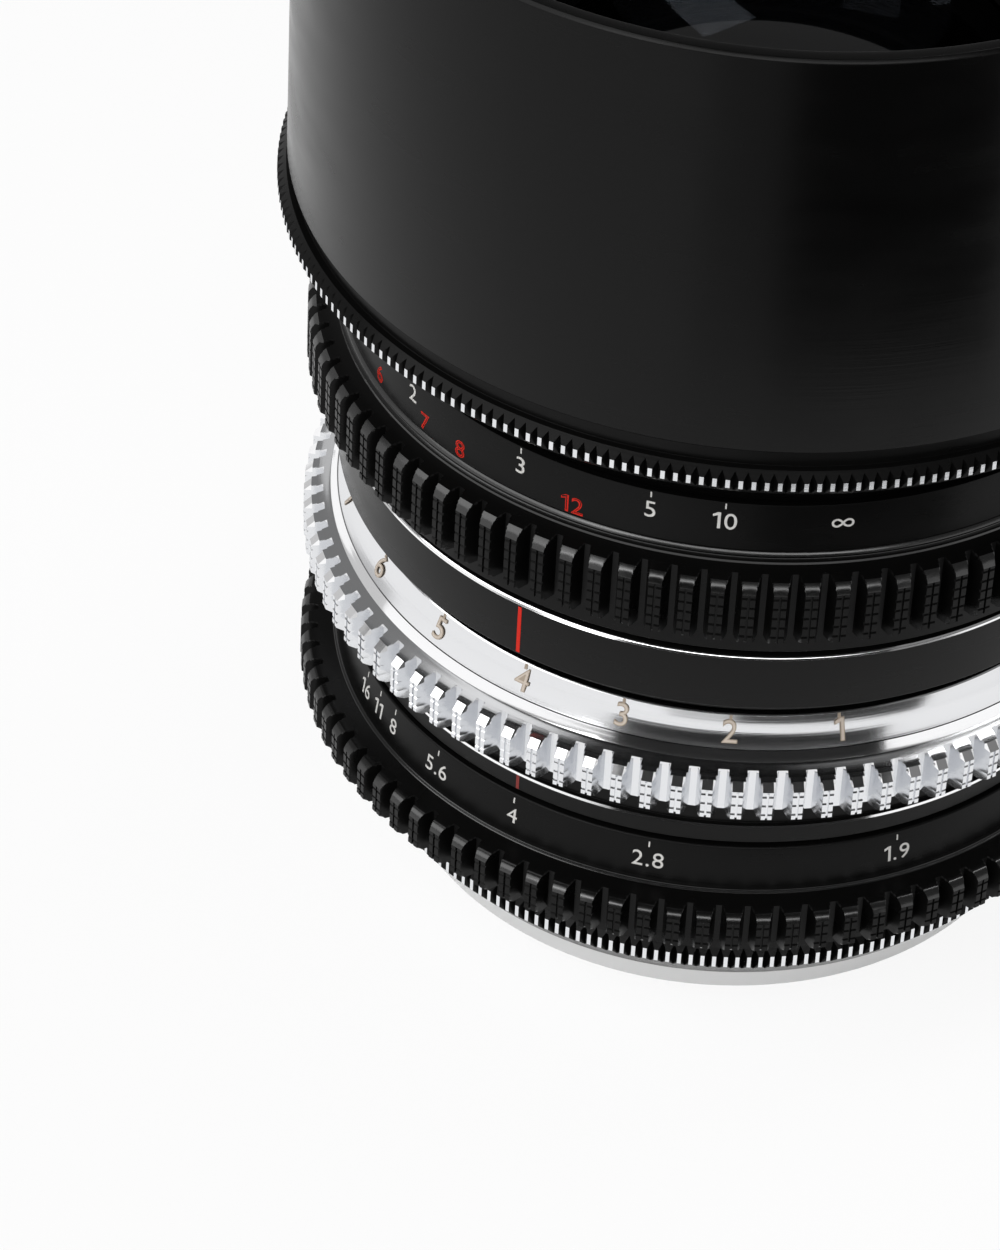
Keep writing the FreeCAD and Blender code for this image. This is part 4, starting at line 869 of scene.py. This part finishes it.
def soft_lamp(name, azimuth, elevation, reach, width, height, power):
    """A rectangular lamp that faces the lens, in metres and watts.

    Its azimuth runs from -Y towards +X and its elevation from the floor up, both in degrees, as
    seen from the lens's middle.
    """
    a, e = math.radians(azimuth), math.radians(elevation)
    data = bpy.data.lights.new(name, "AREA")
    data.shape, data.size, data.size_y, data.energy = "RECTANGLE", width, height, power
    lamp = bpy.data.objects.new(name, data)
    lamp.location = (reach * math.sin(a) * math.cos(e), -reach * math.cos(a) * math.cos(e),
                     reach * math.sin(e) + LENS_MIDDLE)
    aim = Vector((0, 0, LENS_MIDDLE)) - lamp.location
    lamp.rotation_euler = aim.to_track_quat("-Z", "Y").to_euler()
    bpy.context.scene.collection.objects.link(lamp)
    print(name, "brightness", round(power / (math.pi * width * height), 1))
    return lamp


soft_lamp("front_lamp", 28, 40, 0.95, 1.3, 0.13, 2.4)
soft_lamp("side_lamp", -30, 38, 0.95, 0.95, 0.4, 2.6)
soft_lamp("left_lamp", -68, 64, 1.0, 0.35, 0.3, 0.25)
soft_lamp("right_lamp", 158, 64, 1.0, 0.4, 0.3, 1.8)
soft_lamp("fill_lamp", -5, 52, 1.0, 0.8, 0.6, 4.6).visible_glossy = False
bpy.context.scene.view_settings.view_transform = "Standard"


# %% Cards that only mirror rays see
WIDE, TALL, CARD_REACH, FLOOR_CARD_Z = 24, 12, 1.3, -0.0043


def mirrored_only(piece):
    """Leaves a card to mirror rays alone."""
    piece.visible_camera = piece.visible_diffuse = piece.visible_shadow = piece.visible_transmission = False


def card(name, azimuths, elevations, material):
    """Part of a ball around the lens, between two azimuths and two elevations in degrees."""
    u = np.radians(np.linspace(*azimuths, WIDE))[:, None]
    v = np.radians(np.linspace(*elevations, TALL))[None]
    ball = np.stack([np.sin(u) * np.cos(v), -np.cos(u) * np.cos(v), np.sin(v) + 0 * u], -1).reshape(-1, 3)
    i, j = np.meshgrid(np.arange(WIDE - 1) * TALL, np.arange(TALL - 1), indexing="ij")
    quads = np.stack([i + j, i + j + 1, i + j + TALL + 1, i + j + TALL], -1).reshape(-1, 4)
    points = ball * CARD_REACH + (0, 0, LENS_MIDDLE)
    mirrored_only(studio_piece(name, points.tolist(), quads.tolist(), material))


def floor_card(name, azimuths, material):
    """A sector of a flat ring just above the floor."""
    u = np.radians(np.linspace(*azimuths, WIDE))
    edge = np.column_stack([np.sin(u), -np.cos(u)])
    sector = np.vstack([np.column_stack([edge * r, np.full(WIDE, FLOOR_CARD_Z)]) for r in (0.13, 0.6)])
    k = np.arange(WIDE - 1)
    quads = np.column_stack([k, k + 1, k + WIDE + 1, k + WIDE])
    mirrored_only(studio_piece(name, sector.tolist(), quads.tolist(), material))


card_black = finish("card_black", (0.01, 0.01, 0.01), 0.9)[0]
# A black card with a grey glow of its own, seen only by mirror rays: a painted reflection that glows though
# it is no lamp.
grey_glow_card, grey_glow_card_shader = finish("grey_glow_card", (0.01, 0.01, 0.01), 0.9, Emission_Strength=0.55)
grey_glow_card_shader.inputs["Emission Color"].default_value = (1, 1, 1, 1)
card("high_left_card", (-45, 3), (51, 89), card_black)
card("high_card", (3, 80), (43, 89), card_black)
card("low_card", (3, 72), (9, 37), card_black)
# The glowing cards at the left and on the floor give painted reflections that soften the change from white to
# black.
card("left_card", (-135, -66), (-20, 24), grey_glow_card)
floor_card("floor_glow_card", (17, 33), grey_glow_card)
floor_card("floor_card_black", (33, 80), card_black)
print("cards ready")

# %% [markdown]
# ## Sizes
# The box of the CAD model and the box of what is shown are written side by side. They have to
# agree, because the dressed pieces only replace or cover the solids.

# %% Write the two boxes and finish
shown_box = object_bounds()
boxes = {"cad": [list(corner) for corner in cad_box], "shown": [list(corner) for corner in shown_box]}
for name, box in boxes.items():
    print(name, [[round(v, 5) for v in corner] for corner in box])
